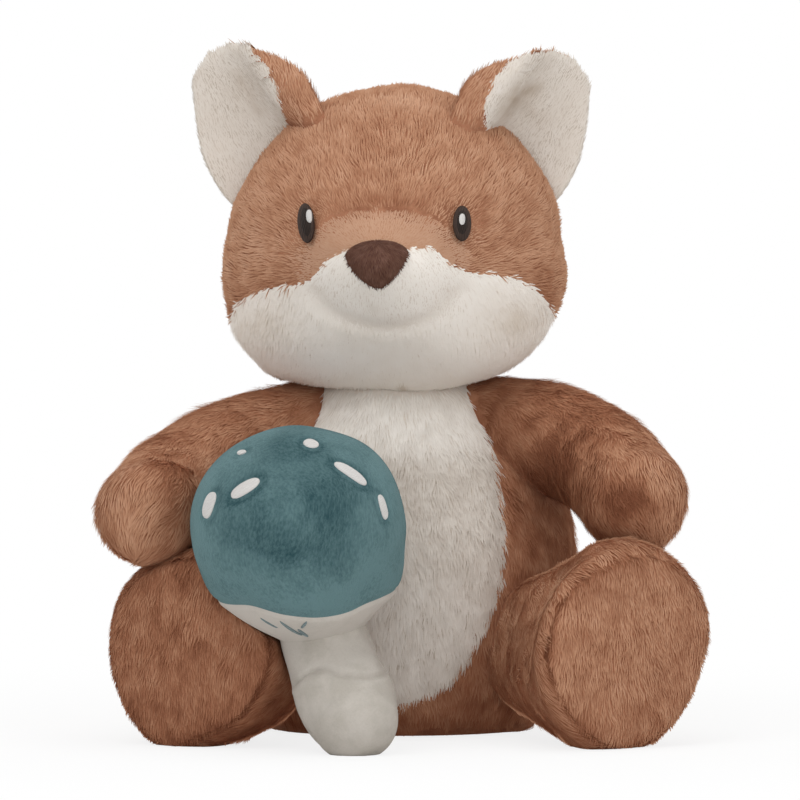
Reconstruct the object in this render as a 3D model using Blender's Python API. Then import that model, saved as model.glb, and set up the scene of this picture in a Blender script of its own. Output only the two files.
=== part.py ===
"""A seated plush fox that holds a toadstool, as the sewn covers, panels and stuffing of the real toy.

Metres, +Z up. The fox sits on the floor at z = 0 and faces -Y, so its own left is +X. The origin
is the centre of its flat seat. Each cover is a fabric shell over its own stuffing. Limbs and head
are open where they meet the torso, and keep clear of it wherever their joints take them.
"""

import math
from bisect import bisect_right

import bmesh
import bpy
import numpy as np
from mathutils import Matrix, Vector
from mathutils.bvhtree import BVHTree

# Fabric
FABRIC = 0.0018  # thickness of a plush cover
GAP = 0.0003  # between neighbouring pieces
SEAM_WIDTH = 0.0003  # between two panels of one cover
FLOOR_FLAT = 0.0005  # how deep a foot or the tail is pressed flat by the floor
WELD = 0.00001
DENT_ROOM = 0.0012  # between a soft piece and the neighbour that dents it

# Torso
TORSO_HEIGHT = 0.122
TORSO_SUNK = 0.010  # how much of the round form lies below the flat seat
TORSO_HALF_WIDTH = 0.057
TORSO_HALF_DEPTH = 0.047
BELLY_HALF_WIDTH = 0.0325
BELLY_BOTTOM = 0.012  # height of the belly panel's lower edge
SEAT_HALF_WIDTH = 0.034
SEAT_HALF_DEPTH = 0.027
PELLET_DEPTH = 0.020  # depth of the weighted bag over the seat
NECK_HOLE = 0.013  # radius of the hole at the top of the torso's cover

# Head
HEAD_SINK = 0.0135  # how far its lowest point lies below the torso's top
HEAD_BOTTOM = TORSO_HEIGHT - HEAD_SINK
HEAD_HEIGHT = 0.0995
HEAD_HALF_WIDTH = 0.0555
HEAD_HALF_DEPTH = 0.046
HEAD_FORWARD = 0.007
HEAD_REST_TURN = math.radians(-5)  # towards the fox's right
HEAD_TURN = math.radians(20)
SNOUT_REACH = 0.0165
SNOUT_HALF_WIDTH = 0.0245
SNOUT_HALF_HEIGHT = 0.0185
SNOUT_RISE = 0.0425  # heights called rise are above the head's lowest point
SNOUT_HEIGHT = HEAD_BOTTOM + SNOUT_RISE
SNOUT_TOP_HALF_WIDTH = 0.0262
SNOUT_TOP_HEIGHT = 0.0125
EYE_SPACING = 0.0495
EYE_RISE = 0.0555
EYE_HEIGHT = HEAD_BOTTOM + EYE_RISE
EYE_HALF_WIDTH = 0.0035
EYE_HALF_HEIGHT = 0.0061
EYE_HALF_DEPTH = 0.0013
GLINT_HALF_WIDTH = 0.0011
GLINT_HALF_HEIGHT = 0.0024
GLINT_HALF_DEPTH = 0.0007
NOSE_RISE = 0.0431
NOSE_HEIGHT = HEAD_BOTTOM + NOSE_RISE
NOSE_HALF_WIDTH = 0.0116
NOSE_HALF_HEIGHT = 0.0078
NOSE_HALF_DEPTH = 0.0050

# Ears
EAR_HALF_WIDTH = 0.0172
EAR_HEIGHT = 0.0415
EAR_ROOT = 0.014  # how far an ear reaches down into the head
EAR_SPACING = 0.076
EAR_BASE_RISE = 0.0725
EAR_BASE_HEIGHT = HEAD_BOTTOM + EAR_BASE_RISE
EAR_CUP = 0.0085  # how far its edges come forward
EAR_BEND = 0.004  # how far its tip leans forward
EAR_LINING = 0.0026
EAR_BACK = 0.0030
EAR_TILT = math.radians(24)  # outwards, seen from the front
EAR_YAW_LEFT = math.radians(34)  # outwards, seen from above
EAR_YAW_RIGHT = math.radians(24)
EAR_FOLD = math.radians(15)

# Arms
SHOULDER_HALF_WIDTH = 0.029
SHOULDER_DROP = 0.027  # below the torso's top
SHOULDER_HEIGHT = TORSO_HEIGHT - SHOULDER_DROP
SHOULDER_FORWARD = 0.004
ARM_RADIUS_LEFT = 0.0168
ARM_RADIUS_RIGHT = 0.0180
ARM_TIP = 0.0150
ARM_LIFT = math.radians(20)
PAW_LEFT = Vector((0.0755, -0.0500, 0.0765))
PAW_RIGHT = Vector((-0.0770, -0.0655, 0.0745))
ELBOW_LEFT = Vector((0.0575, -0.0180, 0.0970))
ELBOW_RIGHT = Vector((-0.0640, -0.0240, 0.0905))

# Legs
HIP_HALF_WIDTH = 0.038
HIP_FORWARD = 0.016
HIP_HEIGHT = 0.0275
FOOT_RADIUS = 0.0305
LEG_LENGTH_LEFT = 0.0732
LEG_LENGTH_RIGHT = 0.0652
LEG_SPLAY_LEFT = math.radians(26)
LEG_SPLAY_RIGHT = math.radians(23)
SOLE_SPLAY_LEFT = math.radians(34)
SOLE_SPLAY_RIGHT = math.radians(31)
ANKLE_LENGTH = 0.030  # from the leg's bend to its sole
LEG_SPREAD = math.radians(12)
SOLE_BULGE = 0.0040

# Tail
TAIL_ROOT_BACK = 0.042
TAIL_ROOT_HEIGHT = 0.024
TAIL_ROOT_RADIUS = 0.0120
TAIL_BEND = Vector((0, 0.066, 0.010))
TAIL_END = Vector((0, 0.096, 0.034))
TAIL_POINT = 0.016
TAIL_SWING = math.radians(12)

# Toadstool
CAP_RADIUS = 0.0330
CAP_HALF_HEIGHT = 0.0300
CAP_HEIGHT = 0.0715  # of its middle above the floor
CAP_LEAN_SIDE = math.radians(14.5)
CAP_LEAN_BACK = math.radians(10.5)
CAP_BEARING = math.radians(-31.5)  # from the right paw to the cap, from +X
STITCH_GAP = 0.0006
RIM_DROP = 0.0220  # from the cap's middle down to its rim
STEM_TOP_RADIUS = 0.0128
STEM_SEAM_DROP = 0.0240
TOADSTOOL_SWING = math.radians(12)
SPOT_HALF_DEPTH = 0.0010
GILL_HALF_WIDTH = 0.0006
GILL_HALF_LENGTH = 0.0034

# Facets of the round forms
BODY_SIDES = 26
BODY_RINGS = 14
LIMB_SIDES = 14
LIMB_ROOT_RINGS = 3
LIMB_BODY_RINGS = 6
LIMB_TIP_RINGS = 3
CAP_SIDES = 22
CAP_RINGS = 12
PAD_SIDES = 10
PAD_RINGS = 6
SOCKET_SIDES = 20
OUTLINE_STEPS = 14
FACE_STEPS = 26
EAR_COLUMNS = 6
EAR_ROWS = 7
TURN_STEPS = 2
DENT_STEPS = 6

# Shares along a form's height, each with the share of a round form's width or depth there
TORSO_WIDTH_shares = ((0, 1.42), (0.08, 1.34), (0.17, 1.19), (0.34, 1.05), (0.53, 1), (0.68, 0.95),
                      (0.8, 0.9), (0.9, 0.88), (1, 0.92))
TORSO_DEPTH_shares = ((0, 1.28), (0.08, 1.24), (0.17, 1.15), (0.34, 1.05), (0.53, 1), (0.68, 0.95),
                      (0.8, 0.9), (0.9, 0.88), (1, 0.92))
TORSO_LEAN_shares = ((0, 0), (0.3, -0.06), (0.55, -0.05), (0.8, 0), (1, 0.04))
HEAD_WIDTH_shares = ((0, 1.1), (0.1, 1.14), (0.2, 1.115), (0.34, 1.055), (0.5, 1), (0.62, 0.985),
                     (0.74, 0.95), (0.85, 0.93), (0.93, 0.95), (1, 1))
HEAD_DEPTH_shares = ((0, 0.85), (0.1, 0.95), (0.3, 0.98), (0.5, 1), (0.7, 1), (0.9, 0.97), (1, 1))
HEAD_LEAN_shares = ((0, -0.2), (0.15, -0.17), (0.35, -0.06), (0.6, 0.02), (1, 0.08))
ARM_SWELL_shares = ((0, 1), (0.3, 1.08), (0.6, 1.06), (1, 1.05))
LEG_SWELL_shares = ((0, 0.54), (0.3, 0.72), (0.6, 0.91), (0.82, 1.03), (1, 1))
TAIL_SWELL_shares = ((0, 1), (0.3, 1.25), (0.55, 1.42), (0.8, 1.28), (1, 0.95))
STEM_SWELL_shares = ((0, 1), (0.3, 1.06), (0.6, 1.13), (0.85, 1.16), (1, 1.1))
CAP_SWELL_shares = ((0, 1.5), (0.05, 1.36), (0.133, 1.22), (0.267, 1.07), (0.45, 1.01), (0.75, 1.02), (1, 1))
EAR_SWELL_shares = ((0, 1.15), (0.2, 1.26), (0.4, 1.2), (0.6, 1.06), (0.78, 0.85), (0.92, 0.57), (1, 0.18))
EAR_SHIFT_shares = ((0, -0.55), (0.25, -0.28), (0.5, -0.05), (0.75, 0.02), (1, 0))
BELLY_WIDTH_shares = ((0, 0.06), (0.05, 0.42), (0.15, 0.7), (0.3, 0.93), (0.45, 1), (0.65, 0.94),
                      (0.85, 0.8), (1, 0.68))
# Height of the cream face's upper edge over the head's middle, by share of the head's half width
FACE_EDGE_shares = ((0, 0), (0.16, 0), (0.24, -0.02), (0.33, -0.14), (0.5, -0.2), (0.72, -0.25),
                    (0.9, -0.42), (1.1, -0.6))
CAP_WAIST_share = 1.03  # the cap's radius where the paw meets it
DENT_SOFTNESS_share = 0.5
NOSE_TAPER_share = 0.55  # the nose's width at its lower tip
NOSE_SQUARE_share = 0.72  # how square its outline is
TAIL_TIP_share = 0.7  # where its cream tip begins
GLINT_RISE_share = 0.3  # the glint's height in the eye
GLINT_SIDE_share = 0.2

# Each spot on the cap: bearing and rise from its middle in degrees, half width, half height, turn
SPOTS = {
    "spot_front_left": (-62, 13, 0.0021, 0.0037, 6),
    "spot_front_high": (-42, 27, 0.0022, 0.0050, -52),
    "spot_crown": (-4, 52, 0.0019, 0.0022, 20),
    "spot_right_high": (26, 36, 0.0020, 0.0056, 42),
    "spot_right": (53, 21, 0.0019, 0.0038, 6),
    "spot_left_high": (-68, 47, 0.0016, 0.0036, -60),
    "spot_back_left": (-140, 34, 0.0022, 0.0048, 40),
    "spot_back": (172, 20, 0.0021, 0.0040, 10),
    "spot_back_right": (118, 40, 0.0021, 0.0048, -35),
}
# Each gill stroke: bearing and drop from the cap's middle in degrees, and its turn
GILLS = {"gill_left": (-24, -57, -38), "gill_middle": (-11, -58, -30), "gill_right": (1, -57, 24)}

COLOURS = {
    "brown_plush": ((0.42, 0.20, 0.11), 0.95),
    "tan_plush": ((0.55, 0.33, 0.20), 0.95),
    "cream_plush": ((0.70, 0.64, 0.57), 0.95),
    "cream_velour": ((0.72, 0.68, 0.63), 0.85),
    "teal_velour": ((0.09, 0.21, 0.23), 0.85),
    "nose_velour": ((0.11, 0.055, 0.045), 0.8),
    "dark_thread": ((0.03, 0.02, 0.017), 0.55),
    "white_thread": ((0.83, 0.82, 0.80), 0.6),
    "grey_thread": ((0.16, 0.25, 0.28), 0.6),
    "fibre_fill": ((0.86, 0.86, 0.84), 1),
    "pellet_bag": ((0.62, 0.60, 0.55), 0.8),
}


def clear_scene():
    """Removes whatever the file opened with."""
    for thing in list(bpy.data.objects):
        bpy.data.objects.remove(thing, do_unlink=True)


def finish(name):
    """The material of that name, made on first use."""
    if name in bpy.data.materials:
        return bpy.data.materials[name]
    made = bpy.data.materials.new(name)
    made.use_nodes = True
    shader = made.node_tree.nodes["Principled BSDF"]
    colour, roughness = COLOURS[name]
    shader.inputs["Base Color"].default_value = (*colour, 1)
    shader.inputs["Roughness"].default_value = roughness
    shader.inputs["Metallic"].default_value = 0
    return made


def eased(table, at):
    """The value of a table of shares at one place, on a smooth curve through its points."""
    places = [place for place, _ in table]
    values = [value for _, value in table]
    slopes = np.gradient(values, places)
    i = min(max(bisect_right(places, at) - 1, 0), len(table) - 2)
    width = places[i + 1] - places[i]
    t = min(max((at - places[i]) / width, 0), 1)
    rise = t * t * (3 - 2 * t)
    start = t * (1 - t) * (1 - t) * width * slopes[i]
    end = t * t * (t - 1) * width * slopes[i + 1]
    return float(values[i] + (values[i + 1] - values[i]) * rise + start + end)


def ball(sides, rings):
    """A round mesh of radius 1 with its poles on Z."""
    bm = bmesh.new()
    bmesh.ops.create_uvsphere(bm, u_segments=sides, v_segments=rings, radius=1)
    bmesh.ops.triangulate(bm, faces=bm.faces, quad_method="FIXED")
    return bm


def offset(bm, by):
    """Moves every vertex out along its normal."""
    bm.normal_update()
    for vert, place in [(v, v.co + v.normal * by) for v in bm.verts]:
        vert.co = place
    return bm


def on_floor(bm, floor=0):
    """Presses whatever lies below the floor flat against it."""
    for vert in bm.verts:
        vert.co.z = max(vert.co.z, floor)
    return bm


def tree_of(bm):
    """A form's surface, for rays."""
    tree = BVHTree.FromBMesh(bm)
    bm.free()
    return tree


def pressed(bm, neighbours, room):
    """Pushes a form's vertices out of its neighbours, and rounds the edge of the dent."""
    trees = [tree_of(other) for other in neighbours]
    for step in range(DENT_STEPS):
        moved = set()
        for vert in bm.verts:
            for tree in trees:
                place, normal, _, _ = tree.find_nearest(vert.co)
                if (vert.co - place).dot(normal) < room:
                    vert.co = place + normal * room
                    moved.add(vert)
        near = {other for vert in moved for edge in vert.link_edges for other in edge.verts}
        if near and step < DENT_STEPS - 1:
            bmesh.ops.smooth_vert(
                bm, verts=list(near), factor=DENT_SOFTNESS_share,
                use_axis_x=True, use_axis_y=True, use_axis_z=True,
            )
    return bm


def swelled(half_width, half_depth, height, widths, depths, leans, sides, rings):
    """A round form on z = 0 whose width, depth and lean follow tables of shares."""
    bm = ball(sides, rings)
    for vert in bm.verts:
        share = (1 + vert.co.z) / 2
        vert.co.x *= half_width * eased(widths, share)
        vert.co.y = vert.co.y * half_depth * eased(depths, share) + half_depth * eased(leans, share)
        vert.co.z = height * share
    return bm


def spine(root, bend, tip, at):
    """The place and the direction at a share along a limb's curved middle line."""
    place = root * (1 - at) ** 2 + bend * 2 * at * (1 - at) + tip * at**2
    way = (bend - root) * (1 - at) + (tip - bend) * at
    return place, way.normalized()


def station(ring, root, bend, tip, radius, swells, reach, body_rings):
    """The middle, the direction and the radius of one ring of a limb."""
    if ring <= LIMB_ROOT_RINGS:
        turn = math.pi / 2 * ring / LIMB_ROOT_RINGS
        place, way = spine(root, bend, tip, 0)
        start = radius * eased(swells, 0)
        return place - way * start * math.cos(turn), way, start * math.sin(turn)
    if ring <= LIMB_ROOT_RINGS + body_rings:
        at = (ring - LIMB_ROOT_RINGS) / body_rings
        place, way = spine(root, bend, tip, at)
        return place, way, radius * eased(swells, at)
    turn = math.pi / 2 * (ring - LIMB_ROOT_RINGS - body_rings) / LIMB_TIP_RINGS
    place, way = spine(root, bend, tip, 1)
    return place + way * reach * math.sin(turn), way, radius * eased(swells, 1) * math.cos(turn)


def limb(root, bend, tip, radius, swells, reach, body_rings=LIMB_BODY_RINGS):
    """A stuffed limb: a ball round its root, a body that swells, and a round end."""
    rings = LIMB_ROOT_RINGS + body_rings + LIMB_TIP_RINGS
    bm = ball(LIMB_SIDES, rings)
    for vert in bm.verts:
        ring = round((0.5 + math.asin(max(-1, min(1, vert.co.z))) / math.pi) * rings)
        place, way, across = station(ring, root, bend, tip, radius, swells, reach, body_rings)
        side = way.cross(Vector((0, 0, 1))).normalized()
        flat = vert.co.xy.normalized() if 0 < ring < rings else Vector((0, 0))
        vert.co = place + (side * flat.x + way.cross(side) * flat.y) * across
    return bm


def outlined(points, low, high):
    """A closed prism along Y over a front outline of (x, z) points."""
    bm = bmesh.new()
    face = bm.faces.new([bm.verts.new((x, low, z)) for x, z in points])
    grown = bmesh.ops.extrude_face_region(bm, geom=[face])["geom"]
    moved = [item for item in grown if isinstance(item, bmesh.types.BMVert)]
    bmesh.ops.translate(bm, verts=moved, vec=(0, high - low, 0))
    bmesh.ops.recalc_face_normals(bm, faces=bm.faces)
    return bm


def widened(points, by):
    """An outline moved outwards, whichever way round it runs."""
    count = len(points)
    area = sum(points[i - 1][0] * points[i][1] - points[i][0] * points[i - 1][1] for i in range(count))
    turn = math.copysign(1, area)
    moved = []
    for i, (x, z) in enumerate(points):
        before = Vector(points[i]) - Vector(points[i - 1])
        after = Vector(points[(i + 1) % count]) - Vector(points[i])
        out = (before.normalized() + after.normalized()).normalized()
        moved.append((x + out.y * by * turn, z - out.x * by * turn))
    return moved


def slab(place, way, width, depth):
    """A square block whose near face is at a place, and that runs on along a way."""
    bm = bmesh.new()
    bmesh.ops.create_cube(bm, size=1)
    turn = way.to_track_quat("Z", "Y").to_matrix().to_4x4()
    size = Matrix.Diagonal((width, width, depth, 1))
    bmesh.ops.transform(bm, matrix=Matrix.Translation(place + way * depth / 2) @ turn @ size, verts=bm.verts)
    return bm


def round_block(centre, radius):
    """A ball whose flat facets all lie outside a radius."""
    bm = ball(SOCKET_SIDES, SOCKET_SIDES // 2)
    across = radius / math.cos(math.pi / SOCKET_SIDES) ** 2
    bmesh.ops.scale(bm, vec=(across, across, across), verts=bm.verts)
    bmesh.ops.translate(bm, vec=centre, verts=bm.verts)
    return bm


def turned(angle, axis, centre):
    """A turn about an axis through a point."""
    there = Matrix.Translation(centre)
    return there @ Matrix.Rotation(angle, 4, axis) @ there.inverted()


def turns(low, high, axis, centre):
    """The turns of a joint from one end of its range to the other."""
    steps = [low + (high - low) * i / TURN_STEPS for i in range(TURN_STEPS + 1)]
    return [turned(angle, axis, centre) for angle in steps]


def swept(bm, matrices):
    """The convex block that a round form fills as it turns."""
    block = bmesh.new()
    for matrix in matrices:
        for vert in bm.verts:
            block.verts.new(matrix @ vert.co)
    bm.free()
    bmesh.ops.remove_doubles(block, verts=block.verts, dist=WELD)
    found = bmesh.ops.convex_hull(block, input=block.verts)
    inner = {item for item in found["geom_interior"] + found["geom_unused"] if isinstance(item, bmesh.types.BMVert)}
    bmesh.ops.delete(block, geom=list(inner), context="VERTS")
    return block


class Toy:
    """The scene's objects: solid pieces on their pivots, and the hidden blocks that cut them."""

    def __init__(self):
        self.pivots = {}

    def pivot(self, name, place, parent=None, turn=0):
        """An empty on a joint's axis. Pieces on it swing about it."""
        made = bpy.data.objects.new(name, None)
        bpy.context.collection.objects.link(made)
        made.empty_display_size = FOOT_RADIUS
        world = Matrix.Translation(place) @ Matrix.Rotation(turn, 4, "Z")
        made.matrix_basis = world
        if parent:
            home, above = self.pivots[parent]
            made.parent = home
            made.matrix_basis = above.inverted() @ world
        self.pivots[name] = made, world
        return made

    def add(self, name, bm):
        """A mesh object with the form in it, smooth-shaded."""
        mesh = bpy.data.meshes.new(name)
        bm.to_mesh(mesh)
        bm.free()
        mesh.shade_smooth()
        mesh.set_sharp_from_angle(angle=math.radians(50))
        made = bpy.data.objects.new(name, mesh)
        bpy.context.collection.objects.link(made)
        return made

    def piece(self, name, bm, material, pivot=None):
        """A solid piece of the toy, hung on its pivot with its mesh where it was."""
        made = self.add(name, bm)
        made.data.materials.append(finish(material))
        if pivot:
            home, world = self.pivots[pivot]
            made.data.transform(world.inverted())
            made.parent = home
        return made

    def shell(self, name, bm, material, pivot=None, wall=FABRIC):
        """A fabric cover with the form as its outer surface."""
        made = self.piece(name, bm, material, pivot)
        cloth = made.modifiers.new("fabric", "SOLIDIFY")
        cloth.thickness = wall
        cloth.offset = -1
        return made

    def cutter(self, name, bm, matrix=None):
        """A hidden block, drawn as wires."""
        made = self.add(name, bm)
        if matrix:
            made.matrix_world = matrix
        return self.hidden(made)

    def hidden(self, made):
        """Leaves an object out of the toy itself."""
        made.hide_render = True
        made.display_type = "WIRE"
        return made

    def cut(self, made, other, operation="DIFFERENCE"):
        """Cuts a piece with a block."""
        change = made.modifiers.new("cut", "BOOLEAN")
        change.operation = operation
        change.object = other
        return made


def torso_form():
    """The pear-shaped torso, pressed flat where it sits."""
    bm = swelled(
        TORSO_HALF_WIDTH, TORSO_HALF_DEPTH, TORSO_HEIGHT + TORSO_SUNK,
        TORSO_WIDTH_shares, TORSO_DEPTH_shares, TORSO_LEAN_shares, BODY_SIDES, BODY_RINGS,
    )
    bmesh.ops.translate(bm, vec=(0, 0, -TORSO_SUNK), verts=bm.verts)
    return on_floor(bm)


def head_form():
    """The head with its snout, in the toy's frame before the head is turned."""
    bm = swelled(
        HEAD_HALF_WIDTH, HEAD_HALF_DEPTH, HEAD_HEIGHT,
        HEAD_WIDTH_shares, HEAD_DEPTH_shares, HEAD_LEAN_shares, BODY_SIDES, BODY_RINGS,
    )
    bmesh.ops.translate(bm, vec=(0, -HEAD_FORWARD, HEAD_BOTTOM), verts=bm.verts)
    for vert in bm.verts:
        across = vert.co.x / SNOUT_HALF_WIDTH
        up = (vert.co.z - SNOUT_HEIGHT) / SNOUT_HALF_HEIGHT
        front = max(0, -(vert.co.y + HEAD_FORWARD) / HEAD_HALF_DEPTH)
        vert.co.y -= SNOUT_REACH * math.exp(-(across**2) - up**2) * front
    return bm


def head_middle():
    """The head's middle height."""
    return HEAD_BOTTOM + HEAD_HEIGHT / 2


def face_outline():
    """The cream lower face, seen from the front."""
    reach = HEAD_HALF_WIDTH * FACE_EDGE_shares[-1][0]
    across = [reach * (2 * i / FACE_STEPS - 1) for i in range(FACE_STEPS + 1)]
    edge = [
        (x, head_middle() + HEAD_HEIGHT / 2 * eased(FACE_EDGE_shares, abs(x) / HEAD_HALF_WIDTH))
        for x in across
    ]
    below = HEAD_BOTTOM - HEAD_HEIGHT / 2
    return [(-reach, below), *edge, (reach, below)]


def snout_outline():
    """The short-pile panel over the snout, seen from the front."""
    low = head_middle() - SNOUT_TOP_HEIGHT
    turns = [math.pi * i / OUTLINE_STEPS for i in range(OUTLINE_STEPS + 1)]
    arch = [
        (SNOUT_TOP_HALF_WIDTH * math.cos(turn), head_middle() + SNOUT_TOP_HEIGHT * math.sin(turn))
        for turn in turns
    ]
    return [*arch, (-SNOUT_TOP_HALF_WIDTH, low), (SNOUT_TOP_HALF_WIDTH, low)]


def belly_outline():
    """The long-pile belly panel, seen from the front."""
    top = TORSO_HEIGHT
    steps = [i / OUTLINE_STEPS for i in range(OUTLINE_STEPS + 1)]
    side = [
        (BELLY_HALF_WIDTH * eased(BELLY_WIDTH_shares, at), BELLY_BOTTOM + (top - BELLY_BOTTOM) * at)
        for at in steps
    ]
    return [*side, *[(-x, z) for x, z in reversed(side)]]


def hip(side):
    """A leg's pivot, on the fox's left for side 1 and its right for side -1."""
    return Vector((side * HIP_HALF_WIDTH, -HIP_FORWARD, HIP_HEIGHT))


def splayed(side, left, right):
    """The level direction forwards and outwards by the angle of that side."""
    splay = left if side > 0 else right
    return Vector((side * math.sin(splay), -math.cos(splay), 0))


def sole_way(side):
    """The level direction that a sole faces."""
    return splayed(side, SOLE_SPLAY_LEFT, SOLE_SPLAY_RIGHT)


def leg_end(side):
    """The middle of a sole's seam."""
    length = LEG_LENGTH_LEFT if side > 0 else LEG_LENGTH_RIGHT
    end = hip(side) + splayed(side, LEG_SPLAY_LEFT, LEG_SPLAY_RIGHT) * length
    end.z = FOOT_RADIUS - FLOOR_FLAT
    return end


def shoulder(side):
    """An arm's pivot."""
    return Vector((side * SHOULDER_HALF_WIDTH, -SHOULDER_FORWARD, SHOULDER_HEIGHT))


def arm_points(side):
    """An arm's pivot, the point that its bend leans to, and the middle of its paw."""
    if side > 0:
        return shoulder(side), ELBOW_LEFT, PAW_LEFT
    return shoulder(side), ELBOW_RIGHT, PAW_RIGHT


def lift_axis(side):
    """The level axis about which an arm rises, square to the way that it points."""
    root, _, paw = arm_points(side)
    way = Vector((paw.x - root.x, paw.y - root.y, 0)).normalized()
    return way.cross(Vector((0, 0, 1)))


def cap_axis():
    """The direction from the toadstool's foot to its crown."""
    return Vector((-math.tan(CAP_LEAN_SIDE), math.tan(CAP_LEAN_BACK), 1)).normalized()


def paw_radius():
    """The right paw's radius."""
    return ARM_RADIUS_RIGHT * eased(ARM_SWELL_shares, 1)


def cap_middle():
    """The middle of the cap, which lies against the right paw."""
    paw = PAW_RIGHT
    reach = paw_radius() + CAP_RADIUS * CAP_WAIST_share + STITCH_GAP
    level = math.sqrt(reach**2 - (CAP_HEIGHT - paw.z) ** 2)
    return Vector((paw.x + level * math.cos(CAP_BEARING), paw.y + level * math.sin(CAP_BEARING), CAP_HEIGHT))


def stitch():
    """Where the cap is sewn to the paw."""
    return PAW_RIGHT + (cap_middle() - PAW_RIGHT).normalized() * (paw_radius() + STITCH_GAP / 2)


def swing_axis():
    """The level axis about which the toadstool swings from its stitch."""
    way = cap_middle() - PAW_RIGHT
    return Vector((way.x, way.y, 0)).normalized().cross(Vector((0, 0, 1)))


def stem_foot():
    """Where the toadstool's middle line meets the floor."""
    middle, axis = cap_middle(), cap_axis()
    return middle - axis * (middle.z / axis.z)


def cap_frame():
    """The cap's frame: its crown on Z and its front on -Y."""
    turn = cap_axis().to_track_quat("Z", "Y").to_matrix()
    front = turn.inverted() @ Vector((0, -1, 0))
    face = Matrix.Rotation(math.atan2(front.x, -front.y), 3, "Z")
    return Matrix.Translation(cap_middle()) @ (turn @ face).to_4x4()


def cap_form():
    """The cap and its underside as one round form."""
    flat_shares = ((0, 0), (1, 0))
    bm = swelled(
        CAP_RADIUS, CAP_RADIUS, 2 * CAP_HALF_HEIGHT,
        CAP_SWELL_shares, CAP_SWELL_shares, flat_shares, CAP_SIDES, CAP_RINGS,
    )
    bmesh.ops.translate(bm, vec=(0, 0, -CAP_HALF_HEIGHT), verts=bm.verts)
    bmesh.ops.transform(bm, matrix=cap_frame(), verts=bm.verts)
    return bm


def stem_form():
    """The stem, from inside the cap down to its flat foot."""
    root = cap_middle() - cap_axis() * STEM_SEAM_DROP
    foot = stem_foot()
    bm = limb(root, (root + foot) / 2, foot, STEM_TOP_RADIUS, STEM_SWELL_shares, FABRIC)
    return on_floor(bm)


def leg_form(side):
    """A leg, pressed in where the toadstool leans on it."""
    end = leg_end(side)
    ankle = end - sole_way(side) * ANKLE_LENGTH
    bm = limb(hip(side), ankle, end, FOOT_RADIUS, LEG_SWELL_shares, SOLE_BULGE)
    if side < 0:
        pressed(bm, (cap_form(), stem_form()), DENT_ROOM)
    return on_floor(bm)


def arm_form(side):
    """An arm, pressed in a little where the cap is sewn to it."""
    root, elbow, paw = arm_points(side)
    radius = ARM_RADIUS_LEFT if side > 0 else ARM_RADIUS_RIGHT
    bm = limb(root, elbow, paw, radius, ARM_SWELL_shares, ARM_TIP)
    if side < 0:
        caps = []
        for turn in turns(0, TOADSTOOL_SWING, swing_axis(), stitch()):
            caps.append(cap_form())
            bmesh.ops.transform(caps[-1], matrix=turn, verts=caps[-1].verts)
        pressed(bm, caps, STITCH_GAP)
    return bm


def tail_form():
    """The tail, thick in the middle and pointed."""
    root = Vector((0, TAIL_ROOT_BACK, TAIL_ROOT_HEIGHT))
    bm = limb(root, TAIL_BEND, TAIL_END, TAIL_ROOT_RADIUS, TAIL_SWELL_shares, TAIL_POINT)
    return on_floor(bm)


def ear_frame(side):
    """An ear's frame in the toy before the head is turned: its tip on +Z, its cup facing -Y."""
    base = Vector((side * EAR_SPACING / 2, 0, EAR_BASE_HEIGHT))
    yaw = Matrix.Rotation(EAR_YAW_LEFT if side > 0 else -EAR_YAW_RIGHT, 4, "Z")
    tilt = Matrix.Rotation(side * EAR_TILT, 4, "Y")
    return Matrix.Translation(base) @ tilt @ yaw


def ear_sheet(side, behind):
    """The front of one cupped layer of an ear, a distance behind the lining's front."""
    bm = bmesh.new()
    bmesh.ops.create_grid(bm, x_segments=EAR_COLUMNS, y_segments=EAR_ROWS, size=1)
    bmesh.ops.triangulate(bm, faces=bm.faces, quad_method="FIXED")
    for vert in bm.verts:
        across, share = vert.co.x, (1 + vert.co.y) / 2
        half = EAR_HALF_WIDTH * eased(EAR_SWELL_shares, share)
        shift = side * EAR_HALF_WIDTH * eased(EAR_SHIFT_shares, share)
        hollow = EAR_CUP * (across * half / EAR_HALF_WIDTH) ** 2
        lean = EAR_BEND * share**2
        rise = (EAR_HEIGHT + EAR_ROOT) * share - EAR_ROOT
        vert.co = Vector((across * half + shift, -hollow - lean, rise))
    bmesh.ops.transform(bm, matrix=ear_frame(side), verts=bm.verts)
    return offset(bm, -behind)


def padded_form(frame, half_width, half_height, half_depth):
    """A flat round pad in a frame whose Y points out of the surface."""
    bm = ball(PAD_SIDES, PAD_RINGS)
    stand = Matrix.Rotation(math.pi / 2, 4, "X")
    size = Matrix.Diagonal((half_width, half_depth, half_height, 1))
    bmesh.ops.transform(bm, matrix=frame @ size @ stand, verts=bm.verts)
    return bm


def surface_frame(tree, start, way, turn=0):
    """A frame where a ray meets a form: Y out of it, Z upwards, turned about Y."""
    place, normal, _, _ = tree.ray_cast(start, way)
    side = normal.cross(Vector((0, 0, 1))).normalized()
    up = side.cross(normal)
    axes = Matrix((side, normal, up)).transposed().to_4x4()
    return Matrix.Translation(place) @ axes @ Matrix.Rotation(turn, 4, "Y")


def stuff(toy, name, bm, pivot=None, material="fibre_fill"):
    """The stuffing that fills a cover, a gap inside its wall."""
    return toy.piece(name, offset(bm, -FABRIC - GAP), material, pivot)


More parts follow.
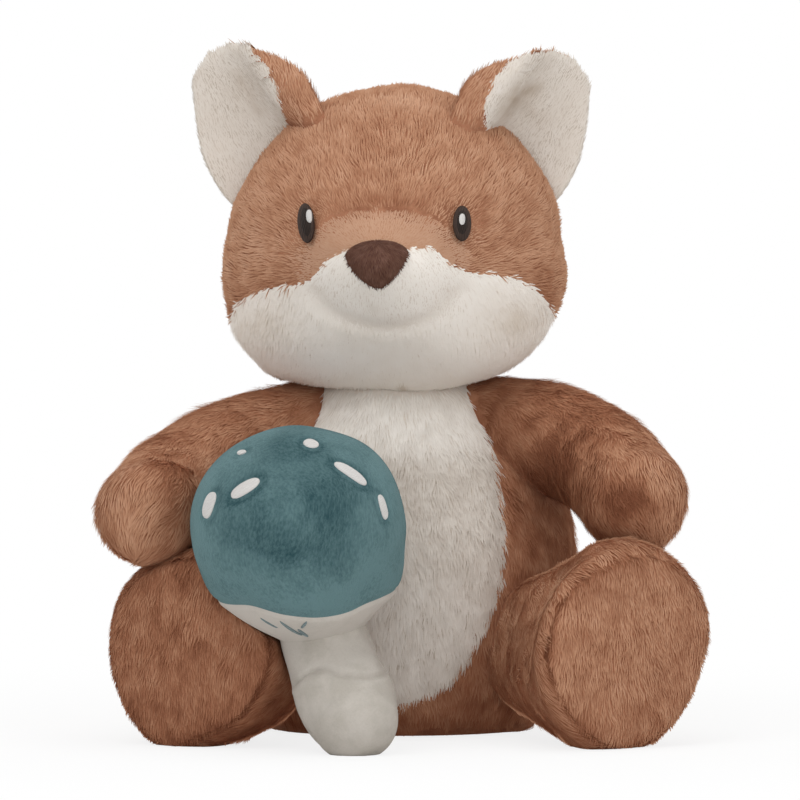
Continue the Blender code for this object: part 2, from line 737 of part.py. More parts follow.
def build_torso(toy):
    """The torso's cover, belly, seat and filling."""
    belly = toy.cutter("belly_window", outlined(belly_outline(), -2 * TORSO_HALF_DEPTH, 0))
    wide = widened(belly_outline(), SEAM_WIDTH)
    round_belly = toy.cutter("belly_seam", outlined(wide, -2 * TORSO_HALF_DEPTH, SEAM_WIDTH))
    seats = []
    for name, room in (("seat_window", 0), ("seat_seam", SEAM_WIDTH)):
        bm = bmesh.new()
        bmesh.ops.create_cone(
            bm, cap_ends=True, segments=BODY_SIDES, radius1=1, radius2=1, depth=4 * FABRIC,
        )
        size = (SEAT_HALF_WIDTH + room, SEAT_HALF_DEPTH + room, 1)
        bmesh.ops.scale(bm, vec=size, verts=bm.verts)
        seats.append(toy.cutter(name, bm))
    neck = toy.cutter("neck_hole", round_block(Vector((0, 0, TORSO_HEIGHT)), NECK_HOLE))

    cover = toy.shell("torso_cover", torso_form(), "brown_plush")
    toy.cut(cover, round_belly)
    toy.cut(cover, seats[1])
    toy.cut(cover, neck)
    panel = toy.shell("belly_panel", torso_form(), "cream_plush")
    toy.cut(panel, belly, "INTERSECT")
    toy.cut(panel, neck)
    seat = toy.shell("seat_panel", torso_form(), "brown_plush")
    toy.cut(seat, seats[0], "INTERSECT")
    filling = stuff(toy, "torso_stuffing", torso_form())
    above = slab(Vector((0, 0, PELLET_DEPTH)), Vector((0, 0, -1)), 4 * TORSO_HALF_WIDTH, 2 * PELLET_DEPTH)
    toy.cut(filling, toy.cutter("above_pellets", above))
    bag = stuff(toy, "seat_pellets", torso_form(), material="pellet_bag")
    below = slab(Vector((0, 0, PELLET_DEPTH - GAP)), Vector((0, 0, 1)), 4 * TORSO_HALF_WIDTH, TORSO_HEIGHT)
    toy.cut(bag, toy.cutter("below_stuffing", below))



def tail_root():
    """The tail's pivot."""
    return Vector((0, TAIL_ROOT_BACK, TAIL_ROOT_HEIGHT))


def neck():
    """The head's pivot."""
    return Vector((0, 0, HEAD_BOTTOM))


def grown_torso():
    """The torso with a gap round it."""
    return offset(torso_form(), GAP)


def grown_head(by=GAP):
    """The head with a gap round it, turned as at rest."""
    bm = offset(head_form(), by)
    bmesh.ops.transform(bm, matrix=rest_turn(), verts=bm.verts)
    return bm


def rest_turn():
    """The head's turn on the neck at rest."""
    return turned(HEAD_REST_TURN, Vector((0, 0, 1)), neck())


def build_head(toy):
    """The head's covers, face and stuffing, turned on the neck."""
    turn = rest_turn()
    nods = turns(-HEAD_TURN, HEAD_TURN, Vector((0, 0, 1)), neck())
    below = toy.cutter("neck_sweep", swept(grown_torso(), nods))
    front = -2 * HEAD_HALF_DEPTH - SNOUT_REACH
    outlines = {"face": face_outline(), "snout": snout_outline()}
    blocks = {}
    for name, points in outlines.items():
        back = -HEAD_FORWARD if name == "face" else -HEAD_HALF_DEPTH / 2
        blocks[name] = toy.cutter(f"{name}_window", outlined(points, front, back), turn)
        wide = outlined(widened(points, SEAM_WIDTH), front, back + SEAM_WIDTH)
        blocks[name + "_seam"] = toy.cutter(f"{name}_seam", wide, turn)

    def cover(name, material):
        bm = head_form()
        bmesh.ops.transform(bm, matrix=turn, verts=bm.verts)
        made = toy.shell(name, bm, material, "head_pivot")
        return toy.cut(made, below)

    head = cover("head_cover", "brown_plush")
    toy.cut(head, blocks["face_seam"])
    toy.cut(head, blocks["snout_seam"])
    face = cover("face_panel", "cream_plush")
    toy.cut(face, blocks["face"], "INTERSECT")
    snout = cover("snout_top", "tan_plush")
    toy.cut(snout, blocks["snout"], "INTERSECT")
    toy.cut(snout, blocks["face_seam"])
    bm = head_form()
    bmesh.ops.transform(bm, matrix=turn, verts=bm.verts)
    toy.cut(stuff(toy, "head_stuffing", bm, "head_pivot"), below)


def build_face(toy, head_block):
    """The eyes with their glints, and the nose."""
    turn = rest_turn()
    tree = tree_of(head_form())
    ahead = Vector((0, -4 * HEAD_HALF_DEPTH, 0))
    for side, name in ((1, "left"), (-1, "right")):
        start = Vector((side * EYE_SPACING / 2, 0, EYE_HEIGHT))
        frame = surface_frame(tree, start + ahead, -ahead)
        eye = padded_form(turn @ frame, EYE_HALF_WIDTH, EYE_HALF_HEIGHT, EYE_HALF_DEPTH)
        toy.cut(toy.piece(f"eye_{name}", eye, "dark_thread", "head_pivot"), head_block)
        grown = [size + GAP for size in (EYE_HALF_WIDTH, EYE_HALF_HEIGHT, EYE_HALF_DEPTH)]
        room = toy.cutter(f"eye_{name}_block", padded_form(turn @ frame, *grown))
        shift = Vector((GLINT_SIDE_share * EYE_HALF_WIDTH, EYE_HALF_DEPTH, GLINT_RISE_share * EYE_HALF_HEIGHT))
        spot = turn @ frame @ Matrix.Translation(shift)
        glint = padded_form(spot, GLINT_HALF_WIDTH, GLINT_HALF_HEIGHT, GLINT_HALF_DEPTH)
        toy.cut(toy.piece(f"glint_{name}", glint, "white_thread", "head_pivot"), room)

    frame = surface_frame(tree, Vector((0, 0, NOSE_HEIGHT)) + ahead, -ahead)
    bm = ball(PAD_SIDES, PAD_RINGS + PAD_RINGS // 2)
    for vert in bm.verts:
        wide = NOSE_TAPER_share + (1 - NOSE_TAPER_share) * (1 + vert.co.z) / 2
        square = [math.copysign(abs(c) ** NOSE_SQUARE_share, c) for c in (vert.co.x, vert.co.z)]
        vert.co = Vector((square[0] * wide * NOSE_HALF_WIDTH, vert.co.y * NOSE_HALF_DEPTH,
                          square[1] * NOSE_HALF_HEIGHT))
    upright = Matrix.Translation(frame.translation)
    bmesh.ops.transform(bm, matrix=turn @ upright, verts=bm.verts)
    toy.cut(toy.piece("nose", bm, "nose_velour", "head_pivot"), head_block)


def build_ears(toy):
    """Each ear's lining and back, on its own pivot at the head's surface."""
    turn = rest_turn()
    for side, name in ((1, "left"), (-1, "right")):
        frame = turn @ ear_frame(side)
        pivot = f"ear_{name}_pivot"
        toy.pivot(pivot, frame.translation, "head_pivot")
        axis = frame.to_3x3() @ Vector((1, 0, 0))
        folds = turns(-EAR_FOLD, 0, axis, frame.translation)
        below = toy.cutter(f"ear_{name}_sweep", swept(grown_head(), folds))
        layers = (("lining", "cream_plush", EAR_LINING, 0), ("back", "brown_plush", EAR_BACK, EAR_LINING + GAP))
        for layer, material, wall, behind in layers:
            bm = ear_sheet(side, behind)
            bmesh.ops.transform(bm, matrix=turn, verts=bm.verts)
            made = toy.shell(f"ear_{name}_{layer}", bm, material, pivot, wall)
            toy.cut(made, below)


def torso_room(toy, name, matrices):
    """The block that the torso fills, seen from a limb that moves."""
    return toy.cutter(f"{name}_sweep", swept(grown_torso(), matrices))


def build_limb(toy, name, bm_of, blocks):
    """A limb's cover, open where it leaves the torso, and its stuffing."""
    pivot = f"{name}_pivot"
    cover = toy.shell(f"{name}_cover", bm_of(), "brown_plush", pivot)
    filling = stuff(toy, f"{name}_stuffing", bm_of(), pivot)
    for block in blocks:
        toy.cut(cover, block)
        toy.cut(filling, block)
    return cover


def build_arms(toy):
    """Both arms, clear of the torso and the head however they turn."""
    for side, name in ((1, "arm_left"), (-1, "arm_right")):
        root = shoulder(side)
        toy.pivot(f"{name}_pivot", root)
        lifts = turns(-ARM_LIFT, 0, lift_axis(side), root)
        room = torso_room(toy, name, lifts)
        nods = turns(-HEAD_TURN, HEAD_TURN, Vector((0, 0, 1)), neck())
        heads = [lift @ nod for lift in lifts for nod in nods]
        above = toy.cutter(f"{name}_head_sweep", swept(grown_head(), heads))
        build_limb(toy, name, lambda side=side: arm_form(side), (room, above))


def build_legs(toy):
    """Both legs with their soles, clear of the torso as they spread."""
    for side, name in ((1, "leg_left"), (-1, "leg_right")):
        root, end, way = hip(side), leg_end(side), sole_way(side)
        toy.pivot(f"{name}_pivot", root)
        spreads = turns(-side * LEG_SPREAD, 0, Vector((0, 0, 1)), root)
        room = torso_room(toy, name, spreads)
        cover = build_limb(toy, name, lambda side=side: leg_form(side), (room,))
        across, depth = 4 * FOOT_RADIUS, 4 * SOLE_BULGE
        toy.cut(cover, toy.cutter(f"{name}_foot_seam", slab(end, way, across, depth)))
        sole = toy.shell(f"{name.replace('leg', 'sole')}", leg_form(side), "brown_plush", f"{name}_pivot")
        beyond = slab(end + way * SEAM_WIDTH, way, across, depth)
        toy.cut(sole, toy.cutter(f"{name}_sole_block", beyond), "INTERSECT")


def build_tail(toy):
    """The tail with its cream tip."""
    root = tail_root()
    toy.pivot("tail_pivot", root)
    swings = turns(-TAIL_SWING, TAIL_SWING, Vector((0, 0, 1)), root)
    room = torso_room(toy, "tail", swings)
    cover = build_limb(toy, "tail", tail_form, (room,))
    place, way = spine(root, TAIL_BEND, TAIL_END, TAIL_TIP_share)
    across = 4 * TAIL_END.y
    toy.cut(cover, toy.cutter("tail_seam", slab(place, way, across, across)))
    tip = toy.shell("tail_tip", tail_form(), "cream_plush", "tail_pivot")
    toy.cut(tip, toy.cutter("tail_tip_block", slab(place + way * SEAM_WIDTH, way, across, across)), "INTERSECT")


def build_toadstool(toy):
    """The toadstool's cap, underside, stem, stuffing, spots and gill stitches."""
    pivot, axis = "toadstool_pivot", cap_axis()
    toy.pivot(pivot, stitch(), "arm_right_pivot")
    rim = cap_middle() - axis * RIM_DROP
    across = 4 * CAP_RADIUS
    cap = toy.shell("toadstool_cap", cap_form(), "teal_velour", pivot)
    toy.cut(cap, toy.cutter("rim_seam", slab(rim, -axis, across, across)))
    under = toy.shell("toadstool_underside", cap_form(), "cream_velour", pivot)
    below = toy.cutter("underside_block", slab(rim - axis * SEAM_WIDTH, -axis, across, across))
    toy.cut(under, below, "INTERSECT")
    stuff(toy, "cap_stuffing", cap_form(), pivot)
    block = toy.cutter("cap_block", offset(cap_form(), GAP))
    toy.cut(toy.shell("toadstool_stem", stem_form(), "cream_velour", pivot), block)
    toy.cut(stuff(toy, "stem_stuffing", stem_form(), pivot), block)

    tree = tree_of(cap_form())
    frame = cap_frame()

    def look(bearing, rise):
        level = math.cos(math.radians(rise))
        turn = math.radians(bearing)
        return Vector((level * math.sin(turn), -level * math.cos(turn), math.sin(math.radians(rise))))

    for name, (bearing, rise, wide, high, turn) in SPOTS.items():
        way = frame.to_3x3() @ look(bearing, rise)
        place = surface_frame(tree, frame.translation + way * across, -way, math.radians(turn))
        spot = padded_form(place, wide, high, SPOT_HALF_DEPTH)
        toy.cut(toy.piece(name, spot, "white_thread", pivot), block)
    for name, (bearing, drop, turn) in GILLS.items():
        way = frame.to_3x3() @ look(bearing, drop)
        place = surface_frame(tree, frame.translation + way * across, -way, math.radians(turn))
        stroke = padded_form(place, GILL_HALF_WIDTH, GILL_HALF_LENGTH, SPOT_HALF_DEPTH)
        toy.cut(toy.piece(name, stroke, "grey_thread", pivot), block)


def main():
    """Builds the whole toy."""
    clear_scene()
    toy = Toy()
    build_torso(toy)
    toy.pivot("head_pivot", neck(), turn=HEAD_REST_TURN)
    build_head(toy)
    build_face(toy, toy.cutter("head_block", grown_head(2 * GAP)))
    build_ears(toy)
    build_arms(toy)
    build_legs(toy)
    build_tail(toy)
    build_toadstool(toy)


main()
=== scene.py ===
"""Looks of the seated plush fox: stuffed skins with real pile, velour, embroidery and soft studio light.

Metres and +Z up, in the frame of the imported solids. The fox faces -Y and its own left is +X.
"""

import logging
import math
from bisect import bisect_right
from collections.abc import Callable, Iterable, Sequence
from dataclasses import dataclass, field, replace
from enum import Enum
from functools import cache
from typing import ClassVar

import bmesh
import bpy
import numpy as np
from mathutils import Matrix, Vector, noise
from mathutils.bvhtree import BVHTree


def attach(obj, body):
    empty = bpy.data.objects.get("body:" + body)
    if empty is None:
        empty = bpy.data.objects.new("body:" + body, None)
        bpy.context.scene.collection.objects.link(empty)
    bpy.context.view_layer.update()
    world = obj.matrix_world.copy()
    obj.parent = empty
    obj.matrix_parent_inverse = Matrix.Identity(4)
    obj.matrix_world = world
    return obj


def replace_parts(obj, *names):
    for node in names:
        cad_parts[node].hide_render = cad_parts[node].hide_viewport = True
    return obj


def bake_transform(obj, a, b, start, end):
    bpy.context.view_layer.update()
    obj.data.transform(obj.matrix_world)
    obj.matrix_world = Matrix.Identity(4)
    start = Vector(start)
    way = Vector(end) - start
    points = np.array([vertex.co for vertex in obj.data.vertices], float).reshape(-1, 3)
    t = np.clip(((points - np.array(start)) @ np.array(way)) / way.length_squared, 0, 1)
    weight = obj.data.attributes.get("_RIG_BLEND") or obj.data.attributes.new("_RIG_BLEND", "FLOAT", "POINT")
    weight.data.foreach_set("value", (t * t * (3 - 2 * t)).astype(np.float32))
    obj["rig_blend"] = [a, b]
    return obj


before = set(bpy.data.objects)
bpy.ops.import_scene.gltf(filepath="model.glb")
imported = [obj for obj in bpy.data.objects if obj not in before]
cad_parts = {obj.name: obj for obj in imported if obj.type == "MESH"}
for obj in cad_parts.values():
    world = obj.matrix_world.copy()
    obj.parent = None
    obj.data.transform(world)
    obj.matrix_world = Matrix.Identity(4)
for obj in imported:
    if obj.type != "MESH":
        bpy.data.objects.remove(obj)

LOG = logging.getLogger("plush_fox")
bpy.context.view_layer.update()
UP = Vector((0, 0, 1))
FRONT = Vector((0, -1, 0))
MM = 0.001

Shares = tuple[tuple[float, float], ...]
Marks = tuple[tuple[float, float, float, float, float], ...]  # picture pixels and a strength
Colour = tuple[float, float, float]
Flow = Callable[[Vector, Vector], Vector]
Level = Callable[[Vector, Vector], float]
Choice = Callable[[bpy.types.MeshPolygon], int]
Patch = tuple[float, float, float, float, float]


class Side(Enum):
    """The fox's own left or right."""

    LEFT = 1
    RIGHT = -1

    @property
    def word(self) -> str:
        """The side's name in piece names."""
        return self.name.lower()


# Node graphs


class Wire:
    """One output socket, with the arithmetic that adds Math nodes."""

    def __init__(self, graph: "Graph", socket: bpy.types.NodeSocket) -> None:
        """Keeps the socket and the graph that it belongs to."""
        self.graph = graph
        self.socket = socket

    def maths(self, operation: str, *values: "Wire | float") -> "Wire":
        """The result of one Math node."""
        return self.graph.node("ShaderNodeMath", {"operation": operation}, dict(enumerate(values)))[0]

    def __add__(self, other: "Wire | float") -> "Wire":
        """This value plus another."""
        return self.maths("ADD", self, other)

    __radd__ = __add__

    def __sub__(self, other: "Wire | float") -> "Wire":
        """This value less another."""
        return self.maths("SUBTRACT", self, other)

    def __rsub__(self, other: float) -> "Wire":
        """A number less this value."""
        return self.maths("SUBTRACT", other, self)

    def __mul__(self, other: "Wire | float") -> "Wire":
        """This value times another."""
        return self.maths("MULTIPLY", self, other)

    __rmul__ = __mul__

    def below(self, other: float) -> "Wire":
        """1 where this value is less than a number."""
        return self.maths("LESS_THAN", self, other)

    def at_least(self, other: float) -> "Wire":
        """This value, or a number where that is greater."""
        return self.maths("MAXIMUM", self, other)

    def sine(self) -> "Wire":
        """The value's sine."""
        return self.maths("SINE", self)

    def clamped(self) -> "Wire":
        """The value kept from 0 to 1."""
        return self.graph.node("ShaderNodeClamp", {}, {0: self})[0]

    def between(self, low: float, high: float) -> "Wire":
        """0 below one limit, 1 above the other, and smooth between them."""
        settings = {"interpolation_type": "SMOOTHSTEP"}
        return self.graph.node("ShaderNodeMapRange", settings, {0: self, 1: low, 2: high})[0]


class Made:
    """A node just made, whose outputs are wires."""

    def __init__(self, graph: "Graph", node: bpy.types.Node) -> None:
        """Keeps the node and its graph."""
        self.graph = graph
        self.node = node

    def __getitem__(self, key: str | int) -> Wire:
        """One output by name or place."""
        return Wire(self.graph, self.node.outputs[key])


class Graph:
    """A node tree that is written as expressions."""

    def __init__(self, tree: bpy.types.NodeTree) -> None:
        """Takes a tree and empties it."""
        self.tree = tree
        tree.nodes.clear()

    def node(
        self, kind: str, settings: dict[str, object], values: dict[str | int, object]
    ) -> Made:
        """Adds one node.

        Args:
            kind: The node's type.
            settings: Its own properties. "stops" is a ramp's list of places and colours.
            values: What its inputs hold or are linked to.

        Returns:
            The node's outputs.
        """
        node = self.tree.nodes.new(kind)
        for name, value in settings.items():
            if name == "stops":
                self._ramp(node.color_ramp, value)
            else:
                setattr(node, name, value)
        for key, value in values.items():
            if isinstance(value, Wire):
                self.tree.links.new(value.socket, node.inputs[key])
            else:
                node.inputs[key].default_value = value
        return Made(self, node)

    @staticmethod
    def _ramp(ramp: bpy.types.ColorRamp, stops: Sequence[tuple[float, Colour]]) -> None:
        """Sets a colour ramp's stops."""
        while len(ramp.elements) < len(stops):
            ramp.elements.new(1)
        for element, (place, colour) in zip(ramp.elements, stops, strict=True):
            element.position = place
            element.color = (*colour, 1)

    def ramp(self, value: Wire, stops: Sequence[tuple[float, Colour]]) -> Wire:
        """The colour at a value on a ramp of places and colours."""
        return self.node("ShaderNodeValToRGB", {"stops": stops}, {0: value})["Color"]

    def blend(self, share: Wire | float, first: Wire | Colour, second: Wire | Colour) -> Wire:
        """Two colours mixed, by the share of the second."""
        ends = [c if isinstance(c, Wire) else (*c, 1) for c in (first, second)]
        return self.node("ShaderNodeMix", {"data_type": "RGBA"}, {0: share, 6: ends[0], 7: ends[1]})[2]

    def vector(self, operation: str, *values: object) -> Wire:
        """The result of one Vector Math node."""
        return self.node("ShaderNodeVectorMath", {"operation": operation}, dict(enumerate(values)))[0]

    def dot(self, first: Wire, second: object) -> Wire:
        """The dot product of two vectors."""
        return self.node("ShaderNodeVectorMath", {"operation": "DOT_PRODUCT"}, {0: first, 1: second})["Value"]

    def scaled(self, vector: Wire, by: Wire | float) -> Wire:
        """A vector times a number."""
        return self.node("ShaderNodeVectorMath", {"operation": "SCALE"}, {0: vector, "Scale": by})[0]

    def noise(self, place: Wire, size: float, detail: float = 2, rough: float = 0.5) -> Made:
        """A noise texture, by the size of its largest patches, its finer layers and their strength."""
        values = {"Vector": place, "Scale": 1 / size, "Detail": detail, "Roughness": rough}
        return self.node("ShaderNodeTexNoise", {"noise_dimensions": "3D"}, values)

    def place(self) -> Wire:
        """Object coordinates."""
        return self.node("ShaderNodeTexCoord", {}, {})["Object"]

    def bumped(self, strength: float, distance: float, height: Wire) -> Wire:
        """A normal that a height bends."""
        values = {"Strength": strength, "Distance": distance, "Height": height}
        return self.node("ShaderNodeBump", {}, values)["Normal"]

    def shader(self, **values: object) -> Wire:
        """The main shader, by its inputs' names with an underscore for each space."""
        return self.node(
            "ShaderNodeBsdfPrincipled", {}, {name.replace("_", " "): value for name, value in values.items()}
        )["BSDF"]

    def ends(self, shader: Wire, kind: str = "Material") -> None:
        """Ends a material's or a world's graph in its surface."""
        self.node(f"ShaderNodeOutput{kind}", {}, {"Surface": shader})


def fresh(store: bpy.types.bpy_prop_collection, name: str) -> tuple[bpy.types.ID, Graph]:
    """A new material or world, and its empty graph."""
    made = store.new(name)
    made.use_nodes = True
    return made, Graph(made.node_tree)


# Finishes


@dataclass(frozen=True)
class Cloth:
    """A cloth finish: mottled colour, a fine nap and a soft sheen."""

    name: str
    dark: Colour
    light: Colour
    patch: float = 9 * MM
    nap: float = 0.5 * MM
    stretch: tuple[float, float, float] = (1, 1, 1)
    bump: float = 0.25
    roughness: float = 0.92
    sheen: float = 0.25
    mottle: tuple[float, float] = (0.36, 0.64)
    warp: float = 0
    grain: float = 0.28

    @cache
    def material(self) -> bpy.types.Material:
        """The finish as a material, made on first use."""
        made, graph = fresh(bpy.data.materials, self.name)
        place = graph.place()
        swirl = graph.scaled(graph.noise(place, 2 * self.patch, 1)["Color"], self.warp)
        bent = graph.vector("ADD", place, swirl)
        broad = graph.noise(bent, self.patch, 4, 0.62)["Fac"].between(*self.mottle)
        fine = graph.noise(graph.vector("MULTIPLY", bent, self.stretch), self.nap, 3, 0.7)["Fac"]
        # A level stored on the mesh: darker nap swirl patches, a painted sheen on the cap's rim, and painted
        # shade round its spots
        swirls_and_painted_light_level = graph.node("ShaderNodeAttribute", {"attribute_name": "rub"}, {})["Fac"]
        tone = (broad * (1 - self.grain) + fine.between(0.3, 0.7) * self.grain + swirls_and_painted_light_level).clamped()
        graph.ends(graph.shader(
            Base_Color=graph.ramp(tone, [(0, self.dark), (1, self.light)]), Roughness=self.roughness,
            Specular_IOR_Level=0.15, Sheen_Weight=self.sheen, Sheen_Roughness=0.5,
            Sheen_Tint=(*self.light, 1), Normal=graph.bumped(self.bump, self.nap, fine),
        ))
        return made


@dataclass(frozen=True)
class Thread:
    """Satin-stitch embroidery: fine parallel threads with a soft shine."""

    name: str
    dark: Colour
    light: Colour
    pitch: float = 0.42 * MM
    run: tuple[float, float, float] = (0.35, 0.15, 1.0)
    roughness: float = 0.6

    @cache
    def material(self) -> bpy.types.Material:
        """The finish as a material, made on first use."""
        made, graph = fresh(bpy.data.materials, self.name)
        place = graph.place()
        wobble = graph.noise(place, 2 * MM)["Fac"] * (0.9 * MM)
        across = graph.dot(place, self.run)
        wave = ((across + wobble) * (2 * math.pi / self.pitch)).sine() * 0.5 + 0.5
        tone = (wave * 0.75 + graph.noise(place, 1.5 * MM)["Fac"] * 0.25).clamped()
        graph.ends(graph.shader(
            Base_Color=graph.ramp(tone, [(0, self.dark), (1, self.light)]), Roughness=self.roughness,
            Specular_IOR_Level=0.2, Normal=graph.bumped(0.5, 0.15 * MM, wave),
        ))
        return made


@dataclass(frozen=True)
class Pile:
    """A plush pile: what its strands look like and how they stand."""

    name: str
    deep: Colour
    dark: Colour
    mid: Colour
    light: Colour
    length: float = 3.9 * MM
    width: float = 0.52 * MM
    spacing: float = 0.58 * MM
    stand: float = 0.30
    lay: float = 1.0
    wild: float = 0.42
    loose: float = 0.13
    clump: float = 4.5 * MM
    contrast: float = 0.42
    relief: float = 0.12
    # How much painted shade darkens each strand towards its root, towards the deep colour
    root: float = 0.45
    slot: str = "brown_plush"

    @cache
    def material(self) -> bpy.types.Material:
        """The strands' material, whose colour follows their own map: tone across it and length up it, with
        painted shade darkening each strand towards its root.
        """
        made, graph = fresh(bpy.data.materials, f"{self.name}_pile")
        uv = graph.node("ShaderNodeUVMap", {"uv_map": STRAND_MAP}, {})["UV"]
        parts = graph.node("ShaderNodeSeparateXYZ", {}, {0: uv})
        stops = [(0, self.deep), (0.25, self.dark), (0.55, self.mid), (1, self.light)]
        body = graph.ramp(parts["X"], stops)
        # Painted shade at the roots: each strand darker towards its root
        root = graph.blend(self.root, body, self.deep)
        colour = graph.blend(parts["Y"].between(0.0, 0.62), root, body)
        front = graph.shader(Base_Color=colour, Roughness=1.0, Specular_IOR_Level=0.0)
        through = graph.node("ShaderNodeBsdfTranslucent", {}, {"Color": colour})["BSDF"]
        behind = graph.node("ShaderNodeNewGeometry", {}, {})["Backfacing"]
        graph.ends(graph.node("ShaderNodeMixShader", {}, {0: behind, 1: front, 2: through})[0])
        return made


STRAND_MAP = "OFBake"
STRAY = ("cover", "pile_length", "tone", "zone", "flow", "along", "shade", "skin_normal", "soft_normal")
BROWN = Pile(
    "brown", (0.190, 0.072, 0.038), (0.340, 0.156, 0.088), (0.480, 0.262, 0.160), (0.620, 0.388, 0.262),
)
CREAM = Pile(
    "cream", (0.660, 0.590, 0.510), (0.755, 0.700, 0.635), (0.825, 0.780, 0.722), (0.925, 0.900, 0.862),
    length=3.6 * MM, width=0.64 * MM, spacing=0.50 * MM, wild=0.3, contrast=0.16,
    relief=0, root=0.04, slot="cream_plush",
)
BELLY = replace(
    CREAM, name="belly", deep=(0.400, 0.335, 0.275), dark=(0.520, 0.460, 0.405), mid=(0.610, 0.560, 0.505),
    light=(0.860, 0.825, 0.775), length=4.2 * MM, width=0.58 * MM, wild=0.42, contrast=0.25, relief=0.1,
    root=0.2, spacing=0.53 * MM,
)
LINING = Pile(
    "lining", (0.500, 0.425, 0.350), (0.610, 0.545, 0.480), (0.690, 0.635, 0.575), (0.760, 0.715, 0.665),
    length=2.0 * MM, width=0.50 * MM, spacing=0.50 * MM, wild=0.3, clump=3 * MM, contrast=0.24,
    relief=0.05, root=0.08, slot="cream_plush",
)
SHAGGY = replace(BROWN, name="shaggy", wild=0.56, loose=0.12, clump=5.2 * MM, contrast=0.42)
NAP = Pile(
    "nose", (0.060, 0.026, 0.018), (0.100, 0.048, 0.033), (0.145, 0.073, 0.053), (0.215, 0.120, 0.092),
    length=1.6 * MM, width=0.42 * MM, spacing=0.38 * MM, stand=0.2, wild=0.16, loose=0.08, clump=1.8 * MM,
    contrast=0.55, relief=0.1, root=0.3, slot="nose_velour",
)
SNOUT = Pile(
    "snout", (0.370, 0.190, 0.112), (0.440, 0.245, 0.154), (0.500, 0.302, 0.201), (0.570, 0.370, 0.258),
    length=3.2 * MM, width=0.50 * MM, spacing=0.48 * MM, stand=0.3, wild=0.22, loose=0.08, clump=3 * MM,
    contrast=0.22, relief=0.05, root=0.12, slot="tan_plush",
)
BROWN_SKIN = Cloth("brown_backing", (0.230, 0.090, 0.048), (0.400, 0.185, 0.105))
CREAM_SKIN = Cloth("cream_backing", (0.680, 0.610, 0.540), (0.790, 0.735, 0.675))
DEEP_CREAM_SKIN = Cloth("deep_cream_backing", (0.480, 0.410, 0.345), (0.640, 0.575, 0.510))
TAN_SKIN = Cloth("tan_backing", (0.400, 0.205, 0.120), (0.480, 0.270, 0.170))
TEAL = Cloth(
    "teal_velour", (0.022, 0.062, 0.072), (0.118, 0.204, 0.214), patch=17 * MM, nap=0.7 * MM,
    stretch=(1, 1, 0.4), bump=0.9, sheen=0.5, mottle=(0.30, 0.72), warp=14 * MM, grain=0.42,
)
STEM_CLOTH = Cloth(
    "cream_velour", (0.420, 0.385, 0.338), (0.525, 0.487, 0.440), patch=12 * MM, nap=0.6 * MM, bump=0.4,
)
NOSE_CLOTH = Cloth(
    "nose_velour", (0.055, 0.024, 0.018), (0.150, 0.075, 0.055), patch=2.2 * MM, nap=0.5 * MM,
    stretch=(0.25, 0.6, 1.6), bump=0.7, sheen=0.15,
)
RIM_THREAD = Thread(
    "rim_thread", (0.020, 0.011, 0.008), (0.060, 0.036, 0.027), run=(1, 0, 0.15), pitch=0.5 * MM,
)
EYE_THREAD = replace(RIM_THREAD, name="eye_thread", dark=(0.006, 0.004, 0.003), light=(0.034, 0.020, 0.015))
WHITE_THREAD = Thread("white_thread", (0.48, 0.46, 0.44), (0.74, 0.72, 0.70))
GREY_THREAD = Thread("gill_thread", (0.100, 0.135, 0.140), (0.240, 0.300, 0.305))


# Forms


@cache
def slopes(table: Shares) -> tuple[tuple[float, ...], tuple[float, ...], tuple[float, ...]]:
    """A table's places, values and slopes."""
    places = tuple(place for place, _ in table)
    values = tuple(value for _, value in table)
    return places, values, tuple(np.gradient(values, places))


def eased(table: Shares, at: float) -> float:
    """The value of a table on a smooth curve through its points.

    Args:
        table: Places and values.
        at: The place to look at.

    Returns:
        The value there.
    """
    places, values, rises = slopes(table)
    i = min(max(bisect_right(places, at) - 1, 0), len(table) - 2)
    width = places[i + 1] - places[i]
    t = min(max((at - places[i]) / width, 0), 1)
    rise = t * t * (3 - 2 * t)
    start = t * (1 - t) * (1 - t) * width * rises[i]
    end = t * t * (t - 1) * width * rises[i + 1]
    return values[i] + (values[i + 1] - values[i]) * rise + start + end


def smooth(low: float, high: float, at: float) -> float:
    """0 below one limit, 1 above the other, and smooth between them."""
    t = min(max((at - low) / (high - low), 0), 1)
    return t * t * (3 - 2 * t)


def straight(table: Shares, at: float) -> float:
    """The value of a table on straight lines between its points."""
    return float(np.interp(at, *zip(*table)))


def hill(off: float, width: float) -> float:
    """1 in the middle of a soft hill, and less the further off."""
    return math.exp(-((off / width) ** 2))


def brushed(marks: Marks, x: float, y: float) -> float:
    """How much lighter or darker the colour is painted at a place in the picture: painted light and shade,
    and a few real marks and nap swirl patches.

    Args:
        marks: Soft round marks: a middle, two half widths and a strength, in picture pixels.
        x: Across the picture.
        y: Down the picture.

    Returns:
        The sum of the marks there.
    """
    return sum(by * math.exp(-(((x - mx) / wx) ** 2) - ((y - my) / wy) ** 2) for mx, my, wx, wy, by in marks)


def ordered(bm: bmesh.types.BMesh) -> bmesh.types.BMesh:
    """Sorts a form's corners and faces by place, so that every run grows the same strands.

    Args:
        bm: The form in whatever order its operator made it, which is freed.

    Returns:
        The same form in one fixed order.
    """
    places = sorted(bm.verts, key=lambda vert: tuple(vert.co))
    rank = {vert: i for i, vert in enumerate(places)}
    rings = []
    for face in bm.faces:
        ring = [rank[vert] for vert in face.verts]
        first = ring.index(min(ring))
        rings.append(ring[first:] + ring[:first])
    made = bmesh.new()
    corners = [made.verts.new(vert.co) for vert in places]
    for ring in sorted(rings):
        made.faces.new([corners[i] for i in ring])
    bm.free()
    made.verts.index_update()
    made.faces.index_update()
    made.normal_update()
    return made


